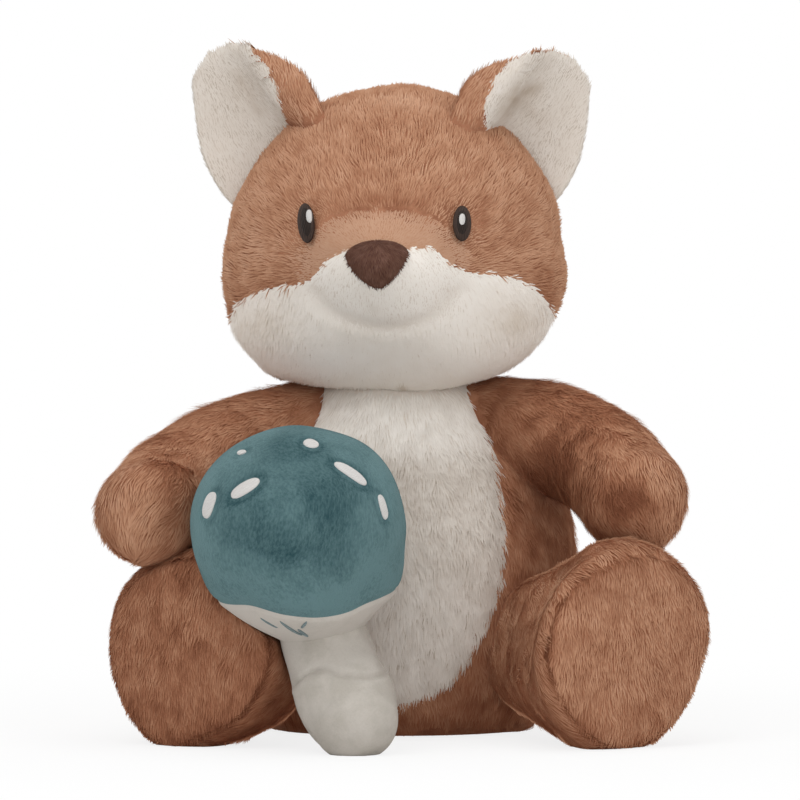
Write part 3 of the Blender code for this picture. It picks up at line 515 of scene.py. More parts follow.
def ball(sides: int, rings: int) -> bmesh.types.BMesh:
    """A round mesh of radius 1 with its poles on Z."""
    bm = bmesh.new()
    bmesh.ops.create_uvsphere(bm, u_segments=sides, v_segments=rings, radius=1)
    return ordered(bm)


def moved(bm: bmesh.types.BMesh, rule: Callable[[bmesh.types.BMVert], Vector]) -> None:
    """Moves every corner by a rule that sees the whole form as it was."""
    for vert, place in [(v, rule(v)) for v in bm.verts]:
        vert.co = place


def tree_of(bm: bmesh.types.BMesh) -> BVHTree:
    """A form's surface, for rays and distances."""
    return BVHTree.FromBMesh(bm)


def depth_in(tree: BVHTree, place: Vector) -> float:
    """How deep a place lies inside a closed form, and negative outside it."""
    near, normal, _, distance = tree.find_nearest(place)
    return distance if (place - near).dot(normal) < 0 else -distance


def lumpy(bm: bmesh.types.BMesh, height: float, size: float, seed: int) -> None:
    """Gives a stuffed form the shallow lumps of its filling.

    Args:
        bm: The form.
        height: How high the lumps are.
        size: How far apart they are.
        seed: Which pattern of lumps.
    """
    bm.normal_update()
    shift = Vector((seed, 2 * seed, 3 * seed))
    moved(bm, lambda v: v.co + v.normal * height * noise.noise(v.co / size + shift))


def on_floor(bm: bmesh.types.BMesh, height: float = 0.0) -> None:
    """Presses whatever lies lower than a height flat at it."""
    for vert in bm.verts:
        vert.co.z = max(vert.co.z, height)


def swelled(
    half_width: float, half_depth: float, height: float,
    widths: Shares, depths: Shares, leans: Shares, sides: int, rings: int,
) -> bmesh.types.BMesh:
    """A round form on z = 0 whose width, depth and lean follow tables of shares.

    Args:
        half_width: Half its width at share 1.
        half_depth: Half its depth at share 1.
        height: Its height.
        widths: Shares of the half width, by share of the height.
        depths: Shares of the half depth.
        leans: How far its middle moves back, in half depths.
        sides: Faces round it.
        rings: Faces up it.

    Returns:
        The form.
    """
    bm = ball(sides, rings)
    for vert in bm.verts:
        share = (1 + vert.co.z) / 2
        vert.co.x *= half_width * eased(widths, share)
        vert.co.y = vert.co.y * half_depth * eased(depths, share) + half_depth * eased(leans, share)
        vert.co.z = height * share
    return bm


@dataclass(frozen=True)
class Spine:
    """The curved middle line of a limb, and how the limb swells along it."""

    root: Vector
    bend: Vector
    tip: Vector
    radius: float
    swells: Shares
    reach: float

    def at(self, share: float) -> tuple[Vector, Vector]:
        """The place and direction at a share along the line."""
        place = self.root * (1 - share) ** 2 + self.bend * 2 * share * (1 - share) + self.tip * share**2
        way = (self.bend - self.root) * (1 - share) + (self.tip - self.bend) * share
        return place, way.normalized()

    def station(self, ring: int, roots: int, body: int, tips: int) -> tuple[Vector, Vector, float]:
        """The middle, the direction and the radius of one ring.

        Args:
            ring: Which ring, from the root's pole.
            roots: Rings of the round root.
            body: Rings of the body.
            tips: Rings of the round tip.

        Returns:
            The ring's middle, direction and radius.
        """
        if ring <= roots:
            turn = math.pi / 2 * ring / roots
            place, way = self.at(0)
            start = self.radius * eased(self.swells, 0)
            return place - way * start * math.cos(turn), way, start * math.sin(turn)
        if ring <= roots + body:
            share = (ring - roots) / body
            place, way = self.at(share)
            return place, way, self.radius * eased(self.swells, share)
        turn = math.pi / 2 * (ring - roots - body) / tips
        place, way = self.at(1)
        end = self.radius * eased(self.swells, 1)
        return place + way * self.reach * math.sin(turn), way, end * math.cos(turn)

    def form(self, sides: int = 56, roots: int = 10, body: int = 36, tips: int = 14) -> bmesh.types.BMesh:
        """The limb as a closed form."""
        rings = roots + body + tips
        bm = ball(sides, rings)
        for vert in bm.verts:
            ring = round((0.5 + math.asin(max(-1, min(1, vert.co.z))) / math.pi) * rings)
            place, way, across = self.station(ring, roots, body, tips)
            side = way.cross(UP).normalized()
            flat = vert.co.xy.normalized() if 0 < ring < rings else Vector((0, 0))
            vert.co = place + (side * flat.x + way.cross(side) * flat.y) * across
        return bm

    def nearest(self, place: Vector) -> tuple[Vector, Vector]:
        """The place and direction on the line next to a place, to a twelfth of its length."""
        return self.at(min((i / 12 for i in range(13)), key=lambda at: (self.at(at)[0] - place).length))

    def flow(self, place: Vector) -> Vector:
        """The direction along the limb next to a place."""
        return self.nearest(place)[1]


# Making pieces


def linked(name: str, data: bpy.types.ID) -> bpy.types.Object:
    """An object of some data, in the scene."""
    made = bpy.data.objects.new(name, data)
    bpy.context.scene.collection.objects.link(made)
    return made


def piece(name: str, bm: bmesh.types.BMesh, material: bpy.types.Material) -> bpy.types.Object:
    """A mesh object of a form, smooth-shaded, at the origin.

    Args:
        name: The piece's name.
        bm: Its form, which is freed.
        material: Its finish.

    Returns:
        The object.
    """
    mesh = bpy.data.meshes.new(name)
    bm.to_mesh(mesh)
    bm.free()
    mesh.shade_smooth()
    mesh.materials.append(material)
    return linked(name, mesh)


def settled(made: bpy.types.Object) -> bpy.types.Object:
    """Turns an object's modifiers into its mesh."""
    graph = bpy.context.evaluated_depsgraph_get()
    mesh = bpy.data.meshes.new_from_object(made.evaluated_get(graph), depsgraph=graph)
    made.modifiers.clear()
    made.data = mesh
    return made


def blade(pile: Pile) -> bpy.types.Object:
    """One bent, tapering strand of length 1, which the pile repeats."""
    name = f"{pile.name}_strand"
    if name in bpy.data.objects:
        return bpy.data.objects[name]
    bm = bmesh.new()
    bmesh.ops.create_grid(bm, x_segments=1, y_segments=2, size=0.5)
    bm = ordered(bm)
    along = bm.verts.layers.float.new("along")
    for vert in bm.verts:
        share = vert.co.y + 0.5
        vert[along] = share
        vert.co = Vector((vert.co.x * (1 - 0.9 * share**1.6), -0.11 * share**2, share))
    bmesh.ops.reverse_faces(bm, faces=bm.faces)
    made = piece(name, bm, pile.material())
    made.hide_render = True
    return made


class Skin:
    """A stuffed surface that carries pile: its form, and where, how long and which way the pile grows."""

    def __init__(self, name: str, bm: bmesh.types.BMesh, inset: float = 2 * MM) -> None:
        """Takes a closed form, which it draws in by most of the pile's thickness."""
        self.name = name
        self.bm = bm
        bm.normal_update()
        moved(bm, lambda v: v.co - v.normal * inset if v.co.z > inset else v.co)
        bm.normal_update()
        self.cover = bm.verts.layers.float.new("cover")
        self.length = bm.verts.layers.float.new("pile_length")
        self.tone = bm.verts.layers.float.new("tone")
        self.zone = bm.verts.layers.float.new("zone")
        self.flow = bm.verts.layers.float_vector.new("flow")
        for vert in bm.verts:
            vert[self.cover] = 1
            vert[self.length] = 1

    def lay(self, flow: Flow) -> "Skin":
        """Sets which way the pile lies.

        Args:
            flow: The direction wanted at a place with a normal.

        Returns:
            This skin.
        """
        for vert in self.bm.verts:
            way = flow(vert.co, vert.normal)
            way = way - vert.normal * way.dot(vert.normal)
            vert[self.flow] = way.normalized() if way.length > 1e-6 else Vector((0, 0, 0))
        return self

    def paint(self, layer: str, level: Level) -> "Skin":
        """Sets one of its levels, such as "tone" or "length", from a place and a normal."""
        key = getattr(self, layer)
        for vert in self.bm.verts:
            vert[key] = level(vert.co, vert.normal)
        return self

    def bare(self, trees: Iterable[BVHTree], room: float = 0.6 * MM) -> "Skin":
        """Takes the pile off wherever the skin is inside a neighbour or on the floor.

        Args:
            trees: The neighbours' surfaces.
            room: How far outside a neighbour the pile is full again.

        Returns:
            This skin.
        """
        for vert in self.bm.verts:
            for tree in trees:
                inside = depth_in(tree, vert.co)
                vert[self.cover] = min(vert[self.cover], smooth(room, -room, inside))
            if vert.normal.z < -0.75 and vert.co.z < 0.8 * MM:
                vert[self.cover] = 0
        return self

    def body(self, slot: str, *cloths: Cloth, which: Choice = lambda face: 0) -> bpy.types.Object:
        """The skin itself as a piece.

        Args:
            slot: Not used.
            cloths: Its finishes.
            which: Which of them a face carries.

        Returns:
            The piece.
        """
        made = piece(f"{self.name}_skin", self.bm.copy(), cloths[0].material())
        for cloth in cloths[1:]:
            made.data.materials.append(cloth.material())
        for face in made.data.polygons:
            face.material_index = which(face)
        return made

    def pelt(
        self, pile: Pile, seed: int, name: str = "", zone: float = 0, edge: float = 0, thick: float = 1
    ) -> bpy.types.Object:
        """The pile that grows on the skin.

        Args:
            pile: Its finish and strands.
            seed: Where its strands start.
            name: The piece's name, after the skin's own.
            zone: 1 to grow only where the zone level is above 0, -1 only below, 0 everywhere.
            edge: How far past the zone's edge it may grow.
            thick: A share of the pile's usual density.

        Returns:
            The strands as one mesh.
        """
        made = piece(f"{self.name}_{name or 'pelt'}", self.bm.copy(), pile.material())
        strand = blade(pile)
        grow = made.modifiers.new("pile", "NODES")
        grow.node_group = pile_tree(pile, strand, seed, zone, edge, thick)
        settled(made)
        co = np.zeros(len(made.data.vertices) * 3, np.float32)
        made.data.vertices.foreach_get("co", co)
        co[2::3] = np.maximum(co[2::3], 0.2 * MM)
        made.data.vertices.foreach_set("co", co)
        soft = np.zeros(len(made.data.vertices) * 3, np.float32)
        made.data.attributes["soft_normal"].data.foreach_get("vector", soft)
        made.data.normals_split_custom_set_from_vertices(soft.reshape(-1, 3))
        for extra in [a.name for a in made.data.attributes if a.name in STRAY]:
            made.data.attributes.remove(made.data.attributes[extra])
        LOG.info("%s: %d strands", made.name, len(made.data.polygons) // 2)
        return made


def pile_tree(
    pile: Pile, strand: bpy.types.Object, seed: int, zone: float, edge: float, thick: float
) -> bpy.types.NodeTree:
    """Geometry nodes that grow strands on a skin.

    Args:
        pile: The strands' sizes and how they stand.
        strand: One strand.
        seed: Where the strands start.
        zone: Which side of the skin's zone edge they grow on.
        edge: How far past that edge.
        thick: A share of the usual density.

    Returns:
        The node group.
    """
    group = bpy.data.node_groups.new(f"{pile.name}_{seed}", "GeometryNodeTree")
    group.interface.new_socket("Geometry", in_out="INPUT", socket_type="NodeSocketGeometry")
    group.interface.new_socket("Geometry", in_out="OUTPUT", socket_type="NodeSocketGeometry")
    g = Graph(group)

    def named(name: str, kind: str = "FLOAT") -> Wire:
        """A level of the skin."""
        return g.node("GeometryNodeInputNamedAttribute", {"data_type": kind}, {"Name": name})["Attribute"]

    def chance(low: float, high: float, salt: int) -> Wire:
        """A number drawn for each strand."""
        values = {2: low, 3: high, "Seed": seed * 31 + salt}
        return g.node("FunctionNodeRandomValue", {"data_type": "FLOAT"}, values)[1]

    def stored(geometry: Wire, name: str, kind: str, domain: str, value: Wire) -> Wire:
        """The geometry with one more attribute."""
        settings = {"data_type": kind, "domain": domain}
        values = {"Geometry": geometry, "Name": name, "Value": value}
        return g.node("GeometryNodeStoreNamedAttribute", settings, values)["Geometry"]

    skin = g.node("NodeGroupInput", {}, {})["Geometry"]
    spacing = pile.spacing / math.sqrt(thick)
    spread = g.node(
        "GeometryNodeDistributePointsOnFaces", {"distribute_method": "POISSON"},
        {"Mesh": skin, "Distance Min": spacing, "Density Max": 1.6 / spacing**2,
         "Density Factor": named("cover"), "Seed": seed},
    )
    points, normal = spread["Points"], spread["Normal"]
    place = g.node("GeometryNodeInputPosition", {}, {})["Position"]
    if zone:
        ragged = named("zone") * zone + (g.noise(place, 2.5 * MM)["Fac"] - 0.5) * (3.5 * MM) + edge
        values = {"Geometry": points, "Selection": ragged.below(0.0)}
        points = g.node("GeometryNodeDeleteGeometry", {"domain": "POINT"}, values)["Geometry"]
    half = (0.5, 0.5, 0.5)
    clumps = g.vector("SUBTRACT", g.noise(place, pile.clump, 1)["Color"], half)
    broad = g.vector("SUBTRACT", g.noise(place, 4 * pile.clump, 1)["Color"], half)
    values = {0: (-1, -1, -1), 1: (1, 1, 1), "Seed": seed * 31 + 5}
    wisps = g.node("FunctionNodeRandomValue", {"data_type": "FLOAT_VECTOR"}, values)[0]
    way = g.vector("ADD", g.scaled(normal, pile.stand), g.scaled(named("flow", "FLOAT_VECTOR"), pile.lay))
    for bend, by in ((clumps, 3.2 * pile.wild), (broad, 2.0 * pile.wild), (wisps, pile.loose)):
        flat = g.vector("SUBTRACT", bend, g.scaled(normal, g.dot(bend, normal) * 0.75))
        way = g.vector("ADD", way, g.scaled(flat, by))
    lift = (0.22 - g.dot(way, normal)).at_least(0.0)
    way = g.vector("NORMALIZE", g.vector("ADD", way, g.scaled(normal, lift)))
    across = g.vector("NORMALIZE", g.vector("CROSS_PRODUCT", normal, way))
    turn = g.node("FunctionNodeAlignRotationToVector", {"axis": "X"}, {"Vector": across})[0]
    values = {"Rotation": turn, "Vector": way}
    turn = g.node("FunctionNodeAlignRotationToVector", {"axis": "Z", "pivot_axis": "X"}, values)[0]
    reach = named("pile_length") * chance(0.72, 1.15, 1) * pile.length
    wide = chance(0.75, 1.2, 2) * pile.width
    size = g.node("ShaderNodeCombineXYZ", {}, {0: wide, 1: reach, 2: reach})[0]
    points = stored(points, "skin_normal", "FLOAT_VECTOR", "POINT", normal)
    depth = g.noise(place, 14 * MM, 2, 0.55)["Fac"] - 0.5
    tuft = g.noise(place, 1.3 * pile.clump, 2, 0.6)["Fac"] - 0.5
    # The strand's tone: the skin's tone level, which holds painted light and shade, plus random tone by
    # patch, tuft and strand
    lit = named("tone") + 0.56 + (depth * 0.8 + tuft * 1.9 + chance(-0.17, 0.17, 3)) * pile.contrast
    points = stored(points, "shade", "FLOAT", "POINT", lit.clamped())
    body = g.node("GeometryNodeObjectInfo", {}, {"Object": strand})["Geometry"]
    values = {"Points": points, "Instance": body, "Rotation": turn, "Scale": size}
    grown = g.node("GeometryNodeInstanceOnPoints", {}, values)["Instances"]
    grown = g.node("GeometryNodeRealizeInstances", {}, {"Geometry": grown})["Geometry"]
    values = {0: named("shade") * 0.96 + 0.02, 1: named("along") * 0.96 + 0.02}
    spot = g.node("ShaderNodeCombineXYZ", {}, values)[0]
    grown = stored(grown, STRAND_MAP, "FLOAT2", "CORNER", spot)
    facing = g.node("GeometryNodeInputNormal", {}, {})["Normal"]
    soft = g.vector("ADD", named("skin_normal", "FLOAT_VECTOR"), g.scaled(facing, pile.relief))
    grown = stored(grown, "soft_normal", "FLOAT_VECTOR", "POINT", g.vector("NORMALIZE", soft))
    g.node("NodeGroupOutput", {}, {"Geometry": grown})
    return group


def surface_frame(tree: BVHTree, start: Vector, way: Vector, turn: float = 0) -> Matrix:
    """A frame where a ray meets a form.

    Args:
        tree: The form's surface.
        start: Where the ray starts.
        way: Where it goes.
        turn: A turn about the surface's normal.

    Returns:
        A frame with Y out of the surface and Z upwards.
    """
    place, normal, _, _ = tree.ray_cast(start, way)
    side = normal.cross(UP).normalized()
    axes = Matrix((side, normal, side.cross(normal))).transposed().to_4x4()
    return Matrix.Translation(place) @ axes @ Matrix.Rotation(turn, 4, "Y")


def pad_on(
    tree: BVHTree, stand: Matrix, half_width: float, half_height: float, rise: float,
    square: float = 1.0, taper: float = 1.0,
) -> bmesh.types.BMesh:
    """A flat round pad that follows a surface.

    Args:
        tree: The surface under it.
        stand: The pad's frame, with Y out of the surface.
        half_width: Half its width.
        half_height: Half its height.
        rise: How high it stands in the middle.
        square: Below 1, its outline is squarer.
        taper: The share of its width at its lower end.

    Returns:
        The pad, closed and a little sunk in the surface.
    """
    bm = ball(36, 14)
    inward = -(stand.to_3x3() @ Vector((0, 1, 0)))
    for vert in bm.verts:
        x, height, z = vert.co.x, vert.co.z, -vert.co.y
        x, z = (math.copysign(abs(c) ** square, c) for c in (x, z))
        x *= taper + (1 - taper) * min(1, (1 + z) / 1.5)
        place = stand @ Vector((x * half_width, 0, z * half_height))
        hit = tree.ray_cast(place - inward * 8 * MM, inward)[0] or place
        puff = math.copysign(abs(height) ** 0.7, height) if height > 0 else 0.5 * height
        vert.co = hit - inward * (rise * puff)
    bmesh.ops.recalc_face_normals(bm, faces=bm.faces)
    return bm


# The studio


@dataclass(frozen=True)
class Studio:
    """The pale floor, the soft light and the camera."""

    distance: float = 3.0
    elevation: float = math.radians(2.4)
    target: Vector = field(default_factory=lambda: Vector((0, 0, 0.106)))
    pixel: float = 0.0003217
    shift: float = 0.0025
    picture: int = 800
    floor_white: float = 0.9
    world_strength: float = 0.36
    lamps: tuple[tuple[str, tuple[float, float, float], float, float], ...] = (
        ("key_lamp", (-0.8, -1.3, 1.7), 1.2, 14.5),
        ("fill_lamp", (1.3, -1.4, 1.0), 1.4, 10.0),
        ("front_lamp", (-0.2, -2.1, 0.35), 1.4, 9.0),
        ("top_lamp", (0.1, -0.1, 1.7), 1.2, 8.5),
        ("back_left_lamp", (1.3, 1.5, 1.0), 1.4, 9.0),
        ("back_right_lamp", (-1.3, 1.5, 1.0), 1.4, 9.0),
    )

    def build(self) -> None:
        """Makes the whole studio."""
        self.floor()
        self.lights()
        self.camera()
        bpy.context.scene.view_settings.view_transform = "Standard"

    def back(self) -> Vector:
        """The direction from the target to the camera."""
        return Vector((0, -math.cos(self.elevation), math.sin(self.elevation)))

    def sight(self, x: float, y: float) -> tuple[Vector, Vector]:
        """The camera's place and the line of sight at a place in the picture."""
        across = (x - self.picture / 2 + self.shift * self.picture) * self.pixel
        up = (self.picture / 2 - y) * self.pixel
        lift = self.back().cross(Vector((1, 0, 0)))
        eye = self.target + self.back() * self.distance
        return eye, (self.target + Vector((1, 0, 0)) * across + lift * up - eye).normalized()

    def seen_at(self, place: Vector) -> tuple[float, float]:
        """Where the camera sees a place in the picture."""
        rel = place - self.target - self.back() * self.distance
        scale = self.distance / -rel.dot(self.back()) / self.pixel
        lift = self.back().cross(Vector((1, 0, 0)))
        return rel.x * scale + self.picture * (0.5 - self.shift), self.picture / 2 - rel.dot(lift) * scale

    def floor(self) -> None:
        """A wide white floor that keeps the toy's soft shadow near it."""
        bm = bmesh.new()
        bmesh.ops.create_grid(bm, x_segments=8, y_segments=8, size=3)
        made, graph = fresh(bpy.data.materials, "white_floor")
        shade = graph.node("ShaderNodeBsdfDiffuse", {}, {"Color": (*[self.floor_white] * 3, 1)})["BSDF"]
        white = graph.node("ShaderNodeEmission", {}, {"Color": (1, 1, 1, 1), "Strength": 1.0})["Emission"]
        path = graph.node("ShaderNodeLightPath", {}, {})
        seen = (path["Is Camera Ray"] + path["Is Glossy Ray"] + path["Is Transmission Ray"]).clamped()
        away = graph.node("ShaderNodeVectorMath", {"operation": "LENGTH"}, {0: graph.place()})["Value"]
        share = away.between(0.10, 0.35) * 0.18 + 0.82
        graph.ends(graph.node("ShaderNodeMixShader", {}, {0: seen * share, 1: shade, 2: white})[0])
        piece("studio_floor", bm, made)

    def lights(self) -> None:
        """Large soft lamps in front, two behind, and a pale world."""
        world, graph = fresh(bpy.data.worlds, "studio")
        bpy.context.scene.world = world
        seen = graph.node("ShaderNodeLightPath", {}, {})["Is Camera Ray"]
        soft, white = (
            graph.node("ShaderNodeBackground", {}, {"Color": (1, 1, 1, 1), "Strength": by})["Background"]
            for by in (self.world_strength, 1.0)
        )
        graph.ends(graph.node("ShaderNodeMixShader", {}, {0: seen, 1: soft, 2: white})[0], "World")
        for name, place, size, power in self.lamps:
            lamp = bpy.data.lights.new(name, "AREA")
            lamp.size = size
            lamp.energy = power
            made = linked(name, lamp)
            made.location = place
            made.rotation_euler = (Vector((0, 0, 0.1)) - Vector(place)).to_track_quat("-Z", "Y").to_euler()

    def camera(self) -> None:
        """A long lens at the photograph's angle."""
        lens = bpy.data.cameras.new("photo_camera")
        made = linked("photo_camera", lens)
        made.location = self.target + self.back() * self.distance
        made.rotation_euler = (-self.back()).to_track_quat("-Z", "Y").to_euler()
        lens.sensor_width = 36
        lens.lens = lens.sensor_width * self.distance / (self.pixel * self.picture)
        lens.shift_x = self.shift
        lens.clip_end = 20
        bpy.context.scene.camera = made


STUDIO = Studio()


# The fox


@dataclass
class Part:
    """A stuffed part of the toy: the surface of its form, and its skin."""

    skin: Skin = field(init=False)
    tree: BVHTree = field(init=False)


@dataclass
class Torso(Part):
    """The pear-shaped torso with its cream belly."""

    height: float = 0.122
    sunk: float = 0.010
    half_width: float = 0.057
    half_depth: float = 0.047
    belly_half_width: float = 0.0325
    belly_bottom: float = 0.012
    light_from: float = 0.090
    widths: Shares = (
        (0, 1.42), (0.08, 1.34), (0.17, 1.19), (0.34, 1.06), (0.53, 1.035), (0.68, 1.01),
        (0.8, 0.94), (0.9, 0.89), (1, 0.92),
    )
    depths: Shares = (
        (0, 1.28), (0.08, 1.24), (0.17, 1.15), (0.34, 1.05), (0.53, 1), (0.68, 0.95),
        (0.8, 0.9), (0.9, 0.88), (1, 0.92),
    )
    leans: Shares = ((0, 0), (0.3, -0.06), (0.55, -0.05), (0.8, 0), (1, 0.04))
    belly: Shares = (
        (0, 0.06), (0.05, 0.42), (0.15, 0.7), (0.3, 0.93), (0.45, 1), (0.65, 0.94), (0.85, 0.8), (1, 0.74),
    )

    def shape(self) -> None:
        """Makes the stuffed form, with the belly panel standing a little proud."""
        bm = swelled(
            self.half_width, self.half_depth, self.height + self.sunk,
            self.widths, self.depths, self.leans, 112, 72,
        )
        bmesh.ops.translate(bm, vec=(0, 0, -self.sunk), verts=bm.verts)
        lumpy(bm, 1.2 * MM, 30 * MM, 3)
        bm.normal_update()
        moved(bm, lambda v: v.co + v.normal * 0.9 * MM * smooth(-1 * MM, 2 * MM, self.inside(v.co)))
        on_floor(bm)
        self.tree = tree_of(bm)
        self.skin = Skin("torso", bm, 1.8 * MM)

    def inside(self, place: Vector) -> float:
        """How far inside the belly's outline a place is, and negative outside it."""
        if place.y > -5 * MM:
            return -10 * MM
        share = (place.z - self.belly_bottom) / (self.height - self.belly_bottom)
        half = self.belly_half_width * eased(self.belly, min(max(share, 0), 1))
        return min(half - abs(place.x), (place.z - self.belly_bottom) * 0.8)

    def build(self, neighbours: Sequence[BVHTree]) -> None:
        """Dresses the torso: its padded skin, brown pile and the belly's longer cream pile.

        Args:
            neighbours: The surfaces of the head, limbs and tail.
        """
        skin = self.skin
        skin.paint("zone", lambda place, normal: self.inside(place))
        skin.lay(lambda place, normal: Vector((0, 0, -1)) + Vector((place.x, place.y, 0)) * 6)

        def tone(place: Vector, normal: Vector) -> float:
            """Painted light low on the belly and under the chin, and painted shade on the brown beside it."""
            if self.inside(place) > 0:
                return 0.22 * smooth(0.075, 0.025, place.z) + 0.42 * smooth(0.084, 0.100, place.z) - 0.04
            return -0.24 if place.y < 0 else -0.05

        skin.paint("tone", tone)
        skin.bare(neighbours)

        def cloth(face: bpy.types.MeshPolygon) -> int:
            """Deep cream under the belly's pile, and lighter near its top."""
            if self.inside(face.center) <= 0:
                return 0
            return 2 if face.center.z > self.light_from else 1

        body = skin.body("brown_plush", BROWN_SKIN, DEEP_CREAM_SKIN, CREAM_SKIN, which=cloth)
        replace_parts(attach(body, "torso"), "torso_cover", "seat_panel", "torso_stuffing", "seat_pellets")
        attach(skin.pelt(SHAGGY, 11, zone=-1), "torso")
        cream = skin.pelt(BELLY, 12, "belly_pelt", zone=1, edge=1.0 * MM, thick=1.1)
        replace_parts(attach(cream, "torso"), "belly_panel")


@dataclass
class Head(Part):
    """The head with its snout, cream cheeks, nose and eyes."""

    bottom: float = 0.1085
    height: float = 0.0995
    half_width: float = 0.0555
    half_depth: float = 0.046
    forward: float = 0.007
    turn: float = math.radians(-5)
    snout_reach: float = 0.0165
    snout_half_width: float = 0.0245
    snout_half_height: float = 0.0185
    snout_height: float = 0.151
    fold_half_width: float = 0.0225
    fold_half_height: float = 0.0145
    fold_middle: float = 0.1455
    widths: Shares = (
        (0, 1.4), (0.06, 1.3), (0.12, 1.2), (0.2, 1.115), (0.34, 1.045), (0.5, 1), (0.62, 0.99),
        (0.74, 0.95), (0.85, 0.93), (0.93, 0.95), (1, 1),
    )
    depths: Shares = ((0, 0.85), (0.1, 0.95), (0.3, 0.98), (0.5, 1), (0.7, 1), (0.9, 0.97), (1, 1))
    leans: Shares = ((0, -0.2), (0.15, -0.17), (0.35, -0.06), (0.6, 0.02), (1, 0.08))
    face_seam: Shares = (
        (222, 352), (230, 326), (237, 306), (252, 294), (276, 287), (306, 283), (314, 279), (322, 266),
        (336, 255), (350, 249), (378, 247), (402, 249), (414, 250), (426, 247), (438, 253), (446, 262),
        (456, 266), (468, 274), (490, 274), (513, 278), (532, 288), (548, 304), (556, 322), (566, 352),
    )
    # Painted light and shade in picture pixels: lighter on the crown, the snout's top, a cheek and the chin;
    # painted shade in the fur fold beside one eye, at the brow, on the forehead and on the jowls. (377, 307)
    # and (401, 386) are the real mouth mark and a seam dot on the chin
    marks: Marks = (
        (385, 190, 44, 20, -0.13), (478, 214, 7, 18, -0.26), (494, 243, 9, 5, -0.22),
        (268, 258, 26, 18, 0.12),
        (282, 290, 24, 8, -0.14), (385, 98, 64, 16, 0.16), (548, 285, 12, 26, -0.18), (377, 307, 3, 4, -0.9),
        (401, 386, 4, 4, -1.2), (385, 222, 34, 8, 0.12), (385, 140, 80, 24, -0.06), (260, 215, 20, 20, 0.06),
        (265, 318, 30, 20, -0.42), (512, 316, 34, 24, -0.50), (320, 362, 60, 20, 0.45),
    )
    eye_spacing: float = 0.0495
    eye_height: float = 0.1640
    eye_front: float = 0.052
    nose_height: float = 0.1516
    nose_front: float = 0.066
    brow_height: float = 0.1715
    roll_middle: float = 0.1505
    roll_half_width: float = 25.5 * MM
    roll_half_height: float = 17 * MM

    def rest(self) -> Matrix:
        """The head's turn on the neck."""
        neck = Matrix.Translation((0, 0, self.bottom))
        return neck @ Matrix.Rotation(self.turn, 4, "Z") @ neck.inverted()

    def local(self, place: Vector) -> Vector:
        """A place as it is before the head's turn."""
        return self.rest().inverted() @ place

    def fold(self, place: Vector) -> float:
        """How far out a place is from the snout's middle, where 1 is its lower fold."""
        across, up = place.x / self.fold_half_width, (place.z - self.fold_middle) / self.fold_half_height
        return math.sqrt(across**2 + up**2)

    def shape(self) -> None:
        """Makes the stuffed form: skull, snout, brow and the fold under the snout."""
        bm = swelled(
            self.half_width, self.half_depth, self.height, self.widths, self.depths, self.leans, 132, 96,
        )
        for vert in bm.verts:
            share = vert.co.z / self.height
            right = smooth(10 * MM, -20 * MM, vert.co.x)
            low = 0.075 * hill(share - 0.15, 0.15) * right
            high = (0.012 + 0.030 * smooth(-20 * MM, 20 * MM, vert.co.x)) * hill(share - 0.56, 0.14)
            cheek = 0.022 * hill(share - 0.39, 0.09)
            chin = 0.12 * hill(share - 0.04, 0.05) * right
            vert.co.x *= 1 + low - high + cheek + chin
        bmesh.ops.translate(bm, vec=(0, -self.forward, self.bottom), verts=bm.verts)
        for vert in bm.verts:
            across = vert.co.x / self.snout_half_width
            up = (vert.co.z - self.snout_height) / self.snout_half_height
            front = max(0, -(vert.co.y + self.forward) / self.half_depth)
            vert.co.y -= self.snout_reach * math.exp(-(across**2) - up**2) * front
            if front > 0.3:
                low = smooth(self.fold_middle + 4 * MM, self.fold_middle - 6 * MM, vert.co.z)
                groove = hill(self.fold(vert.co) - 1, 0.13) * low
                off = (vert.co.z - self.brow_height) / (4.5 * MM)
                brow = math.exp(-(off**2) - (vert.co.x / (21 * MM)) ** 4)
                arc = hill(self.roll(vert.co) - 1.05, 0.07)
                arc *= smooth(0.155, 0.162, vert.co.z) * smooth(24 * MM, 17 * MM, abs(vert.co.x))
                vert.co.y += (1.7 * groove + 1.5 * arc - 1.5 * brow) * MM
        bmesh.ops.transform(bm, matrix=self.rest(), verts=bm.verts)
        lumpy(bm, 1.0 * MM, 26 * MM, 7)
        self.tree = tree_of(bm)
        self.skin = Skin("head", bm, 1.3 * MM)

    def face(self, place: Vector) -> float:
        """How far inside the cream lower face a place is, and negative outside it."""
        x, y = STUDIO.seen_at(place)
        back = (-2 * MM - self.local(place).y) * 0.7
        return min((y - straight(self.face_seam, x)) * STUDIO.pixel, back)

    def roll(self, local: Vector) -> float:
        """How far out a place is from the middle of the snout's top, where 1 is its edge."""
        up = (local.z - self.roll_middle) / self.roll_half_height
        return math.hypot(local.x / self.roll_half_width, up)

    def snout(self, place: Vector) -> float:
        """How far inside the short-pile top of the snout a place is."""
        local = self.local(place)
        return min((1 - self.roll(local)) * 15 * MM, (-20 * MM - local.y)) if local.y < 0 else -10 * MM

    def pile_flow(self, place: Vector, normal: Vector) -> Vector:
        """The pile parts at the nose and runs up, out and down from it."""
        local = self.local(place)
        away = local - Vector((0, -self.nose_front, 0.156))
        away.x *= 0.75
        if self.face(place) > 0:
            return Vector((0.55 * away.x, 0, -abs(away.z) - 8 * MM))
        return away + Vector((0, 0, 0.3 * away.length))

    def build(self, neighbours: Sequence[BVHTree]) -> None:
        """Dresses the head: padded skin, brown, cream and short tan pile, then eyes and nose.

        Args:
            neighbours: The surfaces of the torso and the ears.
        """
        skin = self.skin
        spread = self.eye_spacing / 2
        eyes = [Vector((side.value * spread, -self.eye_front, self.eye_height)) for side in Side]
        nose = Vector((0, -self.nose_front, self.nose_height))

        def in_fold(local: Vector, width: float) -> float:
            """1 in the fold under the snout, and less beside it."""
            return hill(self.fold(local) - 1, width) if local.z < self.fold_middle else 0

